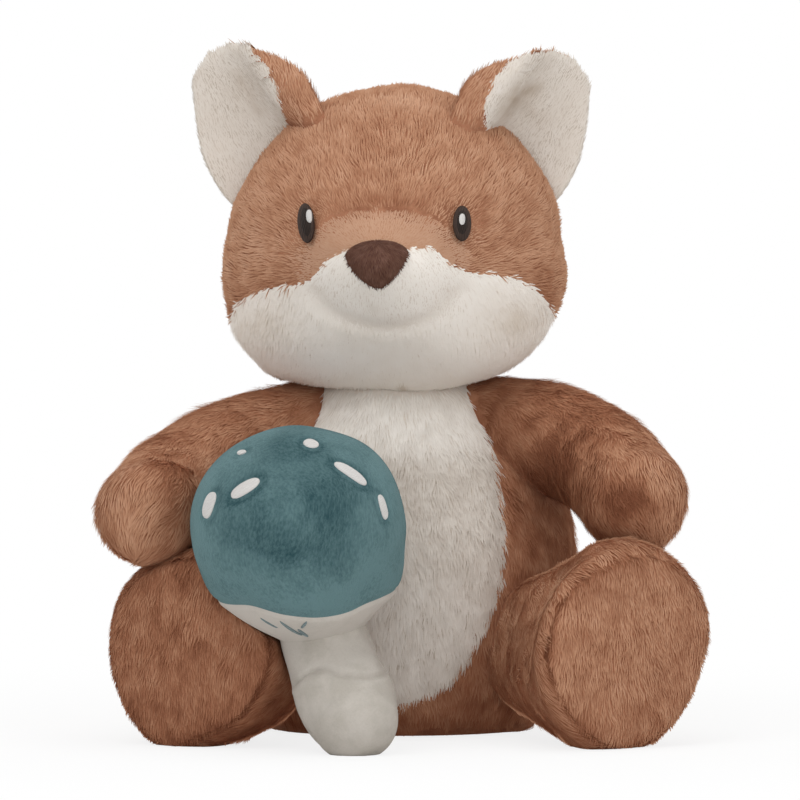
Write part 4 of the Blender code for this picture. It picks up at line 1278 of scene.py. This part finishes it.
        def length(place: Vector, normal: Vector) -> float:
            """Shorter pile on the snout, round the eyes and under the nose."""
            local = self.local(place)
            short = smooth(-6 * MM, 0.5 * MM, self.snout(place)) * 0.52
            eye = smooth(3 * MM, 14 * MM, min((local - eye).length for eye in eyes))
            tip = smooth(6 * MM, 20 * MM, (local - nose).length) + 0.25
            return max(0.3, min(1 - short, eye, tip) - 0.35 * in_fold(local, 0.15))

        def tone(place: Vector, normal: Vector) -> float:
            """Painted shade in the fold under the snout and where the brow meets the snout, and the painted
            light, shade and marks of the head's list.
            """
            local = self.local(place)
            if local.y > -20 * MM:
                return 0
            edge = (self.snout(place) + 2 * MM) / (2.6 * MM)
            brow = 0.22 * math.exp(-(edge**2) - (local.x / (17 * MM)) ** 4)
            return brushed(self.marks, *STUDIO.seen_at(place)) - 0.25 * in_fold(local, 0.12) - brow

        skin.lay(self.pile_flow)
        skin.paint("length", length)
        skin.paint("tone", tone)
        skin.bare(neighbours)

        def cloth(face: bpy.types.MeshPolygon) -> int:
            """Cream on the lower face, tan on the snout."""
            if self.face(face.center) > 0:
                return 1
            return 2 if self.snout(face.center) > 1.5 * MM else 0

        body = skin.body("brown_plush", BROWN_SKIN, CREAM_SKIN, TAN_SKIN, which=cloth)
        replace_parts(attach(body, "head"), "head_stuffing")
        skin.paint("zone", lambda place, normal: max(self.face(place), self.snout(place)))
        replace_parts(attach(skin.pelt(BROWN, 21, zone=-1), "head"), "head_cover")
        skin.paint("zone", lambda place, normal: self.face(place))
        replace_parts(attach(skin.pelt(CREAM, 22, "cheek_pelt", zone=1, edge=0.4 * MM), "head"), "face_panel")
        skin.paint("zone", lambda place, normal: min(self.snout(place) + 0.8 * MM, -self.face(place)))
        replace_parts(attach(skin.pelt(SNOUT, 23, "snout_pelt", zone=1), "head"), "snout_top")
        self.build_eyes()
        self.build_nose()

    def build_eyes(self) -> None:
        """Two embroidered eyes, each with its white glint."""
        for side, half_width, half_height, lean, across, up in (
            (Side.LEFT, 2.75 * MM, 5.6 * MM, 3, -0.2 * MM, 1.2 * MM),
            (Side.RIGHT, 2.95 * MM, 6.3 * MM, 8, -1.3 * MM, 1.9 * MM),
        ):
            start = self.rest() @ Vector((side.value * self.eye_spacing / 2, -0.2, self.eye_height))
            way = self.rest().to_3x3() @ -FRONT
            place = self.tree.ray_cast(start, way)[0] - way * 1.0 * MM
            stand = Matrix.Translation(place) @ self.facing() @ Matrix.Rotation(math.radians(lean), 4, "Y")
            bm = pad_on(self.tree, stand, half_width, half_height, 2.2 * MM)
            rim = piece(f"eye_rim_{side.word}", bm, RIM_THREAD.material())
            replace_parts(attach(rim, "head"), f"eye_{side.word}")
            spot = stand @ Matrix.Translation((-0.1 * MM, 0, 0.2 * MM))
            bm = pad_on(self.tree, spot, half_width - 0.6 * MM, half_height - 0.8 * MM, 2.5 * MM)
            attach(piece(f"eye_pad_{side.word}", bm, EYE_THREAD.material()), "head")
            spot = stand @ Matrix.Translation((across, 0, up))
            bm = pad_on(self.tree, spot, 1.2 * MM, 2.4 * MM, 2.9 * MM, square=0.85)
            glint = piece(f"glint_pad_{side.word}", bm, WHITE_THREAD.material())
            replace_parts(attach(glint, "head"), f"glint_{side.word}")

    def facing(self) -> Matrix:
        """A turn whose Y points out of the face."""
        return self.rest().to_3x3().to_4x4() @ Matrix.Rotation(math.pi, 4, "Z")

    def build_nose(self) -> None:
        """The velour nose: a soft triangle with round corners."""
        start = self.rest() @ Vector((-0.7 * MM, -0.2, self.nose_height))
        place = self.tree.ray_cast(start, self.rest().to_3x3() @ -FRONT)[0]
        stand = Matrix.Translation(place) @ self.facing() @ Matrix.Rotation(math.radians(3), 4, "Y")
        bm = pad_on(self.tree, stand, 11.1 * MM, 7.7 * MM, 4.6 * MM, square=0.86, taper=0.42)
        skin = Skin("nose", bm, 0.3 * MM)
        crown = stand @ Vector((0, 0, 9 * MM))
        skin.lay(lambda spot, normal: spot - crown)
        nose = skin.body("nose_velour", NOSE_CLOTH)
        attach(nose, "head")
        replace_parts(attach(skin.pelt(NAP, 24), "head"), "nose")


@dataclass
class Ear(Part):
    """A cupped ear: a cream lining in front, and brown plush behind that rolls round its inner edge."""

    side: Side
    rest: Matrix
    half_width: float = 0.0172
    height: float = 0.0415
    root: float = 0.014
    spacing: float = 0.076
    base_height: float = 0.181
    cup: float = 0.0085
    bend: float = 0.004
    thickness: float = 0.0059
    roll: float = 0.6
    tilt: float = math.radians(24)
    shift: float = -0.0020
    swells: Shares = ((0, 1.26), (0.2, 1.33), (0.4, 1.25), (0.6, 1.08), (0.78, 0.89), (0.92, 0.68), (1, 0.28))
    inner: Shares = ((0, 0.05), (0.3, 0.32), (0.5, 0.52), (0.65, 0.64), (0.8, 0.48), (0.92, 0.14), (1, 0))
    shifts: Shares = ((0, -0.55), (0.25, -0.28), (0.5, -0.05), (0.75, 0.02), (1, 0))
    # Painted shade in the lining's cup and painted light on its rims, in picture pixels and a strength
    hollows: Marks = (
        (241, 84, 5, 8, -0.4), (251, 96, 5, 9, -0.45), (259, 110, 5, 9, -0.4), (236, 96, 12, 24, -0.12),
        (272, 96, 7, 18, 0.15), (230, 62, 18, 10, 0.15), (503, 114, 7, 7, -0.4), (512, 102, 7, 6, -0.5),
        (524, 93, 9, 5, -0.5), (536, 90, 8, 5, -0.35), (522, 108, 14, 12, -0.25), (534, 124, 12, 16, -0.15),
        (500, 88, 7, 12, 0.15), (560, 70, 18, 10, 0.15),
    )

    def stand(self) -> Matrix:
        """The ear's frame: its tip on +Z and its cup facing -Y."""
        base = Vector((self.side.value * self.spacing / 2 + self.shift, 0, self.base_height))
        turn = 34 if self.side is Side.LEFT else -24
        yaw = Matrix.Rotation(math.radians(turn), 4, "Z")
        tilt = Matrix.Rotation(self.side.value * self.tilt, 4, "Y")
        return self.rest @ Matrix.Translation(base) @ tilt @ yaw

    def sheet(self, across: float, share: float) -> Vector:
        """The middle of the ear's layers.

        Args:
            across: From -1 to 1 over its width.
            share: From 0 at the root to 1 at the tip.

        Returns:
            The place in the ear's frame.
        """
        half = self.half_width * eased(self.swells, share)
        shift = self.side.value * self.half_width * eased(self.shifts, share)
        past = max(0, -self.side.value * across - 1)
        hollow = self.cup * (min(abs(across), 1) * half / self.half_width) ** 2 - 5 * MM * past
        rise = (self.height - self.side.value * 0.9 * MM + self.root) * share - self.root
        return Vector((across * half + shift, self.thickness / 2 - hollow - self.bend * share**2, rise))

    def shape(self) -> None:
        """Makes the ear as a flat cushion with a thicker inner edge, marks its lining, and paints shade in
        the lining's cup and light on its rims.
        """
        bm = ball(64, 48)
        behind, shares = {}, {}
        for vert in bm.verts:
            share = (1 + vert.co.z) / 2
            rim = math.sqrt(max(0, 1 - vert.co.z**2))
            across = max(-1, min(1, vert.co.x / rim)) if rim > 1e-4 else 0
            inner = -self.side.value * across
            thick = self.thickness / 2 * (1 + self.roll * smooth(0.25, 0.8, inner) * smooth(1, 0.7, share))
            wide = 1.3 if self.side is Side.LEFT else 1.0
            rounded = across * (1 - 0.06 * abs(across) ** 6)
            rounded *= 1 + wide * eased(self.inner, share) * max(0, inner)
            step = 0.01
            along = self.sheet(rounded, min(share + step, 1)) - self.sheet(rounded, max(share - step, 0))
            over = self.sheet(rounded + step, share) - self.sheet(rounded - step, share)
            out = over.cross(along).normalized()
            flat = vert.co.y / rim if rim > 1e-4 else 0
            puff = math.copysign(abs(flat) ** 0.55, flat) * thick * min(1, rim * 2.2)
            tip = smooth(0.82, 0.93, share) * (1 if self.side is Side.RIGHT else 0.5)
            shares[vert.index] = share
            outer = smooth(-0.1, 0.35, -inner)
            behind[vert.index] = (flat - max(0.55 * outer, 0.8 * tip)) * (4 + 10 * outer) * MM
            vert.co = self.sheet(rounded, share) - out * puff
        bmesh.ops.transform(bm, matrix=self.stand(), verts=bm.verts)
        bmesh.ops.recalc_face_normals(bm, faces=bm.faces)
        self.tree = tree_of(bm)
        self.skin = Skin(f"ear_{self.side.word}", bm, 0.8 * MM)
        skin = self.skin
        for vert in skin.bm.verts:
            x, y = STUDIO.seen_at(vert.co)
            out = (x - straight(self.seam(), y)) * self.side.value * STUDIO.pixel
            vert[skin.zone] = min(-behind[vert.index], out)
            back = 0.4 + 0.35 * smooth(0, 6 * MM, -vert[skin.zone])
            back *= 1 - 0.62 * smooth(0.8, 1, shares[vert.index])
            vert[skin.length] = 1 if vert[skin.zone] > 0 else back
            # Painted shade in the lining's cup and painted light on its rims
            if vert[skin.zone] > 0:
                vert[skin.tone] = brushed(self.hollows, x, y)

    def seam(self) -> Shares:
        """Where the lining's inner edge is seen, at heights in the picture."""
        if self.side is Side.LEFT:
            return (
                (48, 566), (52, 548), (54, 532), (61, 511), (81, 493), (99, 486), (126, 482), (220, 470),
            )
        return (
            (40, 252), (52, 252), (58, 255), (63, 264), (80, 272), (94, 277), (129, 288), (220, 304),
        )

    def build(self, head: BVHTree) -> None:
        """Dresses the ear.

        Args:
            head: The head's surface.
        """
        skin = self.skin
        stand = self.stand().to_3x3()
        skin.lay(lambda place, normal: stand @ UP)
        skin.bare([head])
        word = self.side.word
        zones = [vert[skin.zone] for vert in skin.bm.verts]
        body = skin.body(
            "cream_plush", DEEP_CREAM_SKIN, BROWN_SKIN,
            which=lambda face: int(sum(zones[i] for i in face.vertices) < 0),
        )
        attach(body, f"ear_{word}")
        cream = skin.pelt(LINING, 31, "lining_pelt", zone=1, edge=0.3 * MM)
        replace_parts(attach(cream, f"ear_{word}"), f"ear_{word}_lining")
        brown = skin.pelt(BROWN, 32, "back_pelt", zone=-1)
        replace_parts(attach(brown, f"ear_{word}"), f"ear_{word}_back")


@dataclass
class Arm(Part):
    """An arm with a round paw."""

    side: Side
    spine: Spine
    # Painted light and shade on the arms' fronts, in picture pixels and a strength
    marks: Marks = (
        (628, 496, 26, 16, -0.60), (560, 462, 26, 24, -0.22), (662, 462, 16, 34, 0.14),
        (600, 450, 60, 60, -0.14),
        (512, 410, 24, 18, -0.1), (172, 470, 20, 24, -0.3), (118, 462, 24, 26, 0.1), (140, 535, 30, 14, 0.06),
    )

    def shape(self) -> None:
        """Makes the stuffed arm."""
        bm = self.spine.form()
        lumpy(bm, 1.3 * MM, 20 * MM, 13 + self.side.value)
        self.tree = tree_of(bm)
        self.skin = Skin(f"arm_{self.side.word}", bm, 0.8 * MM if self.side is Side.LEFT else 1.6 * MM)

    def build(self, neighbours: Sequence[BVHTree]) -> None:
        """Dresses the arm.

        Args:
            neighbours: The surfaces of the torso, the head and the toadstool.
        """
        skin, word = self.skin, self.side.word
        skin.lay(lambda place, normal: self.spine.flow(place) + Vector((0.2 * self.side.value, 0.45, -0.8)))
        reach = (self.spine.tip - self.spine.root).length
        # Painted shade towards the shoulder, deeper on the left arm
        depth = -0.34 if self.side is Side.LEFT else -0.22

        def tone(place: Vector, normal: Vector) -> float:
            """Painted shade at the shoulder and underneath, painted light on top, and the painted light and
            shade of its marks in front.
            """
            out = (place - self.spine.root).length / reach
            under, above = smooth(0.2, -0.7, normal.z), smooth(0.2, 0.9, normal.z)
            marks = brushed(self.marks, *STUDIO.seen_at(place)) if place.y < -10 * MM else 0
            return depth * smooth(1.25, 0.5, out) - 0.12 * under + 0.08 * above + marks

        skin.paint("tone", tone)
        skin.bare(neighbours)
        way = (self.spine.bend - self.spine.root).normalized()
        start = self.spine.root + way * 4 * MM
        end = start + way * 20 * MM
        body = skin.body("brown_plush", BROWN_SKIN)
        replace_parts(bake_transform(body, "torso", f"arm_{word}", start, end), f"arm_{word}_stuffing")
        pelt = skin.pelt(SHAGGY, 41 + self.side.value)
        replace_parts(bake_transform(pelt, "torso", f"arm_{word}", start, end), f"arm_{word}_cover")


@dataclass
class Leg(Part):
    """A leg whose round sole faces forward."""

    side: Side
    spine: Spine
    bulges: tuple[tuple[float, float, float, float], ...]

    def shape(self, dents: Sequence[BVHTree]) -> None:
        """Makes the stuffed leg, pressed in where the toadstool leans on it.

        Args:
            dents: The surfaces that press on it.
        """
        bm = self.spine.form(72, 12, 40, 22)
        way = self.way()
        for vert in bm.verts:
            reach = (vert.co - self.spine.tip).dot(way)
            off = (vert.co - self.spine.tip - way * reach).length
            seam = hill(reach, 1.8 * MM) * smooth(0.6, 0.95, off / self.spine.radius)
            axis = self.spine.tip + way * reach
            out = vert.co - axis
            outer = smooth(-8 * MM, 12 * MM, out.x * self.side.value)
            wide = 1 + outer * (0.02 + 0.05 * smooth(-26 * MM, 4 * MM, out.z))
            spread = Vector((out.x * wide, out.y * wide, out.z * (1.02 + 0.03 * outer)))
            towards = out.normalized() if out.length > 1e-6 else out
            bulge = 0
            for x, y, z, by in self.bulges:
                bulge += by * smooth(0.55, 1.0, towards.dot(Vector((x * self.side.value, y, z))))
            inner = smooth(1 * MM, -17 * MM, out.x * self.side.value) * smooth(1 * MM, -22 * MM, reach)
            pinch = inner * (0.14 + 0.22 * smooth(-20 * MM, 6 * MM, out.z)) if self.side is Side.LEFT else 0
            vert.co = axis + spread * (1 - 0.09 * seam - pinch + bulge * smooth(-45 * MM, -10 * MM, reach))
            vert.co.z -= 1.0 * MM * outer
        lumpy(bm, 1.4 * MM, 24 * MM, 17 + self.side.value)
        for step in range(5 if dents else 0):
            pressed = set()
            for vert in bm.verts:
                for tree in dents:
                    near, normal, _, _ = tree.find_nearest(vert.co)
                    if (vert.co - near).dot(normal) < 0.9 * MM:
                        vert.co = near + normal * 0.9 * MM
                        pressed.add(vert)
            around = {other for vert in pressed for edge in vert.link_edges for other in edge.verts}
            if around and step < 4:
                nearby = sorted(around, key=lambda vert: vert.index)
                bmesh.ops.smooth_vert(
                    bm, verts=nearby, factor=0.5, use_axis_x=True, use_axis_y=True, use_axis_z=True
                )
        on_floor(bm)
        self.tree = tree_of(bm)
        self.skin = Skin(f"leg_{self.side.word}", bm, -0.4 * MM)

    def way(self) -> Vector:
        """The direction that the sole faces."""
        return self.spine.at(1)[1]

    def sole(self, place: Vector) -> float:
        """How far inside the sole's round panel a place is."""
        return (place - self.spine.tip).dot(self.way()) - 0.5 * MM

    def build(self, neighbours: Sequence[BVHTree]) -> None:
        """Dresses the leg and its sole.

        Args:
            neighbours: The surfaces of the torso and whatever leans on it.
        """
        skin, word, way = self.skin, self.side.word, self.way()

        def flow(place: Vector, normal: Vector) -> Vector:
            """Down on the sole, and forwards and down behind it."""
            if self.sole(place) > 0:
                return Vector((0, 0, -1))
            return self.spine.flow(place) * 0.7 + Vector((0, 0, -0.6))

        skin.lay(flow)
        skin.paint("zone", lambda place, normal: self.sole(place))

        def length(place: Vector, normal: Vector) -> float:
            """Short on the sole, longer beside its seam, and shorter on the leg's outer side."""
            if self.sole(place) > 0:
                return 0.8
            outer = smooth(6 * MM, 20 * MM, (place.x - self.spine.tip.x) * self.side.value)
            return (0.9 + 0.2 * smooth(-7 * MM, -2 * MM, self.sole(place))) * (1 - 0.35 * outer)

        skin.paint("length", length)
        shade = -0.05 if self.side is Side.LEFT else -0.26

        def tone(place: Vector, normal: Vector) -> float:
            """Painted shade along the sole's seam and low down near the floor, and the whole right leg
            darker.
            """
            seam = hill(self.sole(place), 1.2 * MM)
            seam *= smooth(14 * MM, -8 * MM, (place.x - self.spine.tip.x) * self.side.value)
            return shade - 0.4 * seam - 0.12 * smooth(25 * MM, 5 * MM, place.z)

        skin.paint("tone", tone)
        skin.bare(neighbours)
        start = self.spine.root + way * 20 * MM
        end = self.spine.root + way * 42 * MM
        joined = ("torso", f"leg_{word}", start, end)
        body = skin.body("brown_plush", BROWN_SKIN)
        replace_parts(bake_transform(body, *joined), f"leg_{word}_stuffing")
        pelt = skin.pelt(SHAGGY, 51 + self.side.value, zone=-1)
        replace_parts(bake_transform(pelt, *joined), f"leg_{word}_cover")
        sole = skin.pelt(BROWN, 55 + self.side.value, "sole_pelt", zone=1)
        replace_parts(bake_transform(sole, *joined), f"sole_{word}")


@dataclass
class Tail(Part):
    """The tail with its cream tip."""

    spine: Spine
    tip_share: float = 0.7

    def shape(self) -> None:
        """Makes the stuffed tail."""
        bm = self.spine.form(56, 8, 36, 18)
        lumpy(bm, 1.3 * MM, 18 * MM, 23)
        on_floor(bm, 0.3 * MM)
        self.tree = tree_of(bm)
        self.skin = Skin("tail", bm, 1.2 * MM)

    def tip(self, place: Vector) -> float:
        """How far inside the cream tip a place is."""
        seam, way = self.spine.at(self.tip_share)
        return (place - seam).dot(way)

    def build(self, neighbours: Sequence[BVHTree]) -> None:
        """Dresses the tail.

        Args:
            neighbours: The torso's surface.
        """
        skin = self.skin
        skin.lay(lambda place, normal: self.spine.flow(place))
        skin.paint("zone", lambda place, normal: self.tip(place))
        skin.bare(neighbours)
        root, way = self.spine.at(0)
        joined = ("torso", "tail", root, root + way * 14 * MM)
        body = skin.body(
            "brown_plush", BROWN_SKIN, CREAM_SKIN, which=lambda face: int(self.tip(face.center) > 0),
        )
        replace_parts(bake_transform(body, *joined), "tail_stuffing")
        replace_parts(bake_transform(skin.pelt(SHAGGY, 61, zone=-1), *joined), "tail_cover")
        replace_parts(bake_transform(skin.pelt(CREAM, 62, "tip_pelt", zone=1), *joined), "tail_tip")


@dataclass
class Toadstool:
    """The toadstool: a teal velour cap with white spots on a bent cream stem."""

    middle: Vector = field(default_factory=lambda: Vector((-0.03146, -0.0934, 0.0715)))
    radius: float = 0.0336
    half_height: float = 0.0300
    lean_side: float = math.radians(7.0)
    lean_front: float = math.radians(13)
    rim_drop: float = 0.0212
    neck_drop: float = 0.0360
    neck_radius: float = 0.0130
    neck_shift: float = 0.0032
    stem_radius: float = 0.0136
    stem_tip: Vector = field(default_factory=lambda: Vector((-0.0129, -0.1042, 0.0100)))
    stem_bend: Vector = field(default_factory=lambda: Vector((-0.0190, -0.0900, 0.0210)))
    swells: Shares = (
        (0, 1.5), (0.05, 1.36), (0.133, 1.22), (0.267, 1.07), (0.45, 1.01), (0.75, 1.02), (1, 1),
    )
    stem_swells: Shares = ((0, 1.0), (0.25, 1.03), (0.45, 1.04), (0.7, 1.12), (0.9, 1.06), (1, 0.98))
    ripple: Shares = (
        (-3.2, 0), (-1.5, 0.8), (-0.95, 2.2), (-0.65, 3.0), (-0.21, 0.2), (0.1, -1.7), (0.49, -2.1),
        (0.68, -1.5), (0.98, -1.7), (1.35, -2.2), (1.9, -1), (3.2, 0),
    )
    crease: Shares = ((-0.0330, 0.0205), (-0.0262, 0.0265), (-0.0160, 0.0253), (-0.0090, 0.0248))
    spots: ClassVar[dict[str, Patch]] = {
        "spot_front_left": (209, 505, 3.0, 4.3, 4),
        "spot_front_high": (245, 488, 2.4, 5.2, 52),
        "spot_left_high": (242, 453, 0.8, 1.6, 60),
        "spot_crown": (311, 444, 2.2, 2.5, -40),
        "spot_right_high": (351, 473, 2.0, 6.0, -44),
        "spot_right": (383, 507, 1.6, 4.0, -8),
    }
    far_spots: ClassVar[dict[str, Patch]] = {
        "spot_back_left": (-140, 34, 2.2, 4.8, 40),
        "spot_back": (172, 20, 2.1, 4.0, 10),
        "spot_back_right": (125, 22, 2.1, 4.8, -35),
    }
    gills: ClassVar[dict[str, Patch]] = {
        "gill_left": (269, 623, 0.35, 3.2, -28),
        "gill_middle": (291, 629, 0.65, 5.6, -20),
        "gill_right": (304, 625, 0.5, 2.6, 26),
        "gill_right_low": (303, 633, 0.6, 3.4, -20),
    }
    # Darker nap swirl patches, and two lighter painted highlights near the right rim where the strength is
    # negative, in picture pixels and a strength
    swirls: Marks = (
        (338, 520, 20, 40, 0.42), (292, 446, 26, 15, 0.38), (288, 553, 20, 14, 0.3), (312, 480, 24, 30, 0.22),
        (380, 474, 14, 34, -0.25), (394, 552, 12, 30, -0.15),
    )
    tree: BVHTree = field(init=False)
    stem_tree: BVHTree = field(init=False)
    cap: bmesh.types.BMesh = field(init=False)
    stem: bmesh.types.BMesh = field(init=False)

    def axis(self) -> Vector:
        """The direction from its neck to its crown."""
        return Vector((-math.tan(self.lean_side), -math.tan(self.lean_front), 1)).normalized()

    def frame(self) -> Matrix:
        """The cap's frame: its crown on Z and its front on -Y."""
        turn = self.axis().to_track_quat("Z", "Y").to_matrix()
        front = turn.inverted() @ FRONT
        face = Matrix.Rotation(math.atan2(front.x, -front.y), 3, "Z")
        return Matrix.Translation(self.middle) @ (turn @ face).to_4x4()

    def shape(self) -> None:
        """Makes the stuffed cap with the funnel under it, and the bent stem."""
        flat = ((0, 0), (1, 0))
        bm = swelled(
            self.radius, self.radius, 2 * self.half_height, self.swells, self.swells, flat, 120, 96,
        )
        bmesh.ops.translate(bm, vec=(0, 0, -self.half_height), verts=bm.verts)
        for face in bm.faces:
            face.material_index = int(face.calc_center_median().z < -self.rim_drop)
        ring = self.radius * math.sqrt(1 - (self.rim_drop / self.half_height) ** 2) * 1.22
        for vert in bm.verts:
            under = all(face.material_index for face in vert.link_faces)
            if under or any(face.material_index for face in vert.link_faces):
                way = vert.co.xy.normalized() if vert.co.xy.length > 1e-5 else Vector((0, 0))
                reach = min(1, vert.co.xy.length / ring)
                drop = min(1, (1 - reach) / (1 - self.neck_radius / ring)) if under else 0
                vert.co.z = -self.rim_drop - (self.neck_drop - self.rim_drop) * drop**0.9
                vert.co.xy = way * ring * (reach if under else 1)
                vert.co.x += self.neck_shift * drop
            vert.co.xy *= 1 - 0.03 * hill(vert.co.z + self.rim_drop, 0.9 * MM)
            ripple = eased(self.ripple, math.atan2(vert.co.x, -vert.co.y))
            vert.co.z += ripple * MM * hill(vert.co.z + self.rim_drop, 7 * MM)
        bmesh.ops.transform(bm, matrix=self.frame(), verts=bm.verts)
        lumpy(bm, 0.8 * MM, 17 * MM, 29)
        self.dimple(bm)
        self.cap = bm
        self.tree = tree_of(bm)
        root = self.middle - self.axis() * (self.neck_drop - 6 * MM) + Vector((self.neck_shift, 0, 0))
        spine = Spine(root, self.stem_bend, self.stem_tip, self.stem_radius, self.stem_swells, 11 * MM)
        bm = spine.form(80, 8, 56, 22)
        for vert in bm.verts:
            line = spine.nearest(vert.co)[0]
            front = smooth(0, -6 * MM, vert.co.y - line.y)
            off = vert.co.z - eased(self.crease, min(max(vert.co.x, self.crease[0][0]), self.crease[-1][0]))
            fold = 1.3 * hill(off, 0.7 * MM) - 0.7 * hill(off + 2.6 * MM, 2.2 * MM)
            vert.co = vert.co - (vert.co - line).normalized() * fold * MM * front
        lumpy(bm, 0.9 * MM, 13 * MM, 31)
        on_floor(bm)
        self.stem = bm
        self.stem_tree = tree_of(bm)

    def dimple(self, bm: bmesh.types.BMesh) -> None:
        """Sinks each spot a little in the cap, paints shade round it, and stores the darker nap swirl
        patches, the painted highlights and a painted sheen on the rim.

        Args:
            bm: The cap's form.
        """
        rub = bm.verts.layers.float.new("rub")
        tree = tree_of(bm)
        marks = []
        for x, y, wide, high, turn in self.spots.values():
            stand = surface_frame(tree, *STUDIO.sight(x, y), -math.radians(turn))
            marks.append((stand.inverted(), wide * MM + 1.2 * MM, high * MM + 1.2 * MM))
        bm.normal_update()
        moves = []
        for vert in bm.verts:
            x, y = STUDIO.seen_at(vert.co)
            front = smooth(-0.1, 0.25, -vert.normal.y)
            # Painted sheen: lighter towards the cap's rim on faces turned to the front, plus the swirl
            # patches and painted highlights of the list
            rim = smooth(0.62, 0.98, math.hypot((x - 298) / 110, (y - 515) / 95)) * 0.46
            level = 0.05 + (rim - brushed(self.swirls, x, y)) * front
            sink = 0
            for home, wide, high in marks:
                spot = home @ vert.co
                if abs(spot.y) < 6 * MM:
                    off = math.hypot(spot.x / wide, spot.z / high)
                    sink = max(sink, smooth(1.5, 0.7, off))
                    # Painted shade in a ring round each sunk spot
                    level -= 0.4 * hill(off - 1.05, 0.22)
            vert[rub] = level
            moves.append((vert, vert.co - vert.normal * 0.9 * MM * sink))
        for vert, place in moves:
            vert.co = place

    def look(self, bearing: float, rise: float) -> Vector:
        """A direction from the cap's middle, in degrees of bearing from its front and of rise."""
        level, turn = math.cos(math.radians(rise)), math.radians(bearing)
        way = Vector((level * math.sin(turn), -level * math.cos(turn), math.sin(math.radians(rise))))
        return self.frame().to_3x3() @ way

    def build(self) -> None:
        """Dresses the toadstool."""
        cap = piece("cap_pad", self.cap.copy(), TEAL.material())
        cap.data.materials.append(STEM_CLOTH.material())
        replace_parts(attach(cap, "toadstool"), "toadstool_cap", "toadstool_underside", "cap_stuffing")
        stem = piece("stem_pad", self.stem.copy(), STEM_CLOTH.material())
        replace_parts(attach(stem, "toadstool"), "toadstool_stem", "stem_stuffing")
        white, grey = (WHITE_THREAD, "white_thread"), (GREY_THREAD, "grey_thread")
        for group, finish in ((self.spots, white), (self.gills, grey)):
            for name, (x, y, wide, high, turn) in group.items():
                self.stitch(name, *STUDIO.sight(x, y), turn, wide * MM, high * MM, *finish)
        for name, (bearing, rise, wide, high, turn) in self.far_spots.items():
            way = self.look(bearing, rise)
            self.stitch(name, self.middle + way * 0.1, -way, turn, wide * MM, high * MM, *white)

    def stitch(
        self, name: str, start: Vector, way: Vector, turn: float,
        half_width: float, half_height: float, thread: Thread, slot: str,
    ) -> None:
        """One embroidered patch on the cap.

        Args:
            name: The solid that it stands for.
            start: Where the line to its middle starts.
            way: The direction of that line.
            turn: Degrees about the surface's normal.
            half_width: Half its width.
            half_height: Half its height.
            thread: Its finish.
            slot: Not used.
        """
        stand = surface_frame(self.tree, start, way, -math.radians(turn))
        bm = pad_on(self.tree, stand, half_width, half_height, 0.5 * MM, square=0.9)
        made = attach(piece(f"{name}_patch", bm, thread.material()), "toadstool")
        if name != "gill_right_low":
            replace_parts(made, name)


ARM_SWELLS: Shares = ((0, 1), (0.3, 1.08), (0.6, 1.06), (1, 1.05))
LEG_SWELLS: Shares = ((0, 0.54), (0.3, 0.72), (0.6, 0.91), (0.82, 1.03), (1, 1))
TAIL_LINE = ((0, 0.042, 0.024), (0, 0.066, 0.010), (0, 0.096, 0.034))
TAIL_SWELLS: Shares = ((0, 1), (0.3, 1.25), (0.55, 1.42), (0.8, 1.28), (1, 0.95))


def arm(side: Side) -> Arm:
    """An arm on its spine."""
    root = Vector((side.value * 0.029, -0.004, 0.0964))
    if side is Side.LEFT:
        bend, tip = Vector((0.0611, -0.0150, 0.0966)), Vector((0.0747, -0.0500, 0.0768))
        spine = Spine(root, bend, tip, 0.0174, ARM_SWELLS, 0.015)
    else:
        bend, tip = Vector((-0.0677, -0.0230, 0.0864)), Vector((-0.0782, -0.0655, 0.0733))
        spine = Spine(root, bend, tip, 0.0180, ARM_SWELLS, 0.0155)
    return Arm(side, spine)


def leg(side: Side) -> Leg:
    """A leg on its spine, which bends outwards at the ankle."""
    hip = Vector((side.value * 0.038, -0.016, 0.0275))
    length, splay, turn = (0.0732, 26, 34) if side is Side.LEFT else (0.0652, 23, 31)
    way, out = (
        Vector((side.value * math.sin(a), -math.cos(a), 0)) for a in (math.radians(splay), math.radians(turn))
    )
    end = hip + way * length
    end.z = 0.0300
    bulges = ((0.64, 0.2, 0.74, 0.15), (0.75, 0, -0.66, -0.05))
    if side is Side.RIGHT:
        bulges = (
            (0.9, -0.1, 0.42, 0.078), (0.1, -0.3, 0.95, 0.05), (0.75, 0, -0.66, 0.03), (-0.6, 0, -0.8, -0.10),
        )
    return Leg(side, Spine(hip, end - out * 0.030, end, 0.0305, LEG_SWELLS, 4 * MM), bulges)


def main() -> None:
    """Builds the toy and its studio."""
    logging.basicConfig(level=logging.INFO, format="%(message)s")
    torso, head, toadstool = Torso(), Head(), Toadstool()
    ears = [Ear(side, head.rest()) for side in Side]
    arms = [arm(side) for side in Side]
    legs = [leg(side) for side in Side]
    tail = Tail(Spine(*(Vector(place) for place in TAIL_LINE), 0.012, TAIL_SWELLS, 0.016))
    for part in (torso, head, toadstool, tail, *ears, *arms):
        part.shape()
    for made in legs:
        made.shape([toadstool.tree, toadstool.stem_tree] if made.side is Side.RIGHT else [])
    limbs = [made.tree for made in (*arms, *legs)]
    LOG.info("forms ready")
    toadstool.build()
    torso.build([head.tree, tail.tree, *limbs])
    head.build([torso.tree])
    for ear in ears:
        ear.build(head.tree)
    for made in arms:
        made.build([torso.tree, head.tree, toadstool.tree])
    for made in legs:
        made.build([torso.tree, toadstool.tree, toadstool.stem_tree])
    tail.build([torso.tree])
    for pile in (BROWN, SHAGGY, CREAM, BELLY, LINING, SNOUT, NAP):
        bpy.data.objects.remove(blade(pile), do_unlink=True)
    STUDIO.build()


if __name__ == "__main__":
    main()
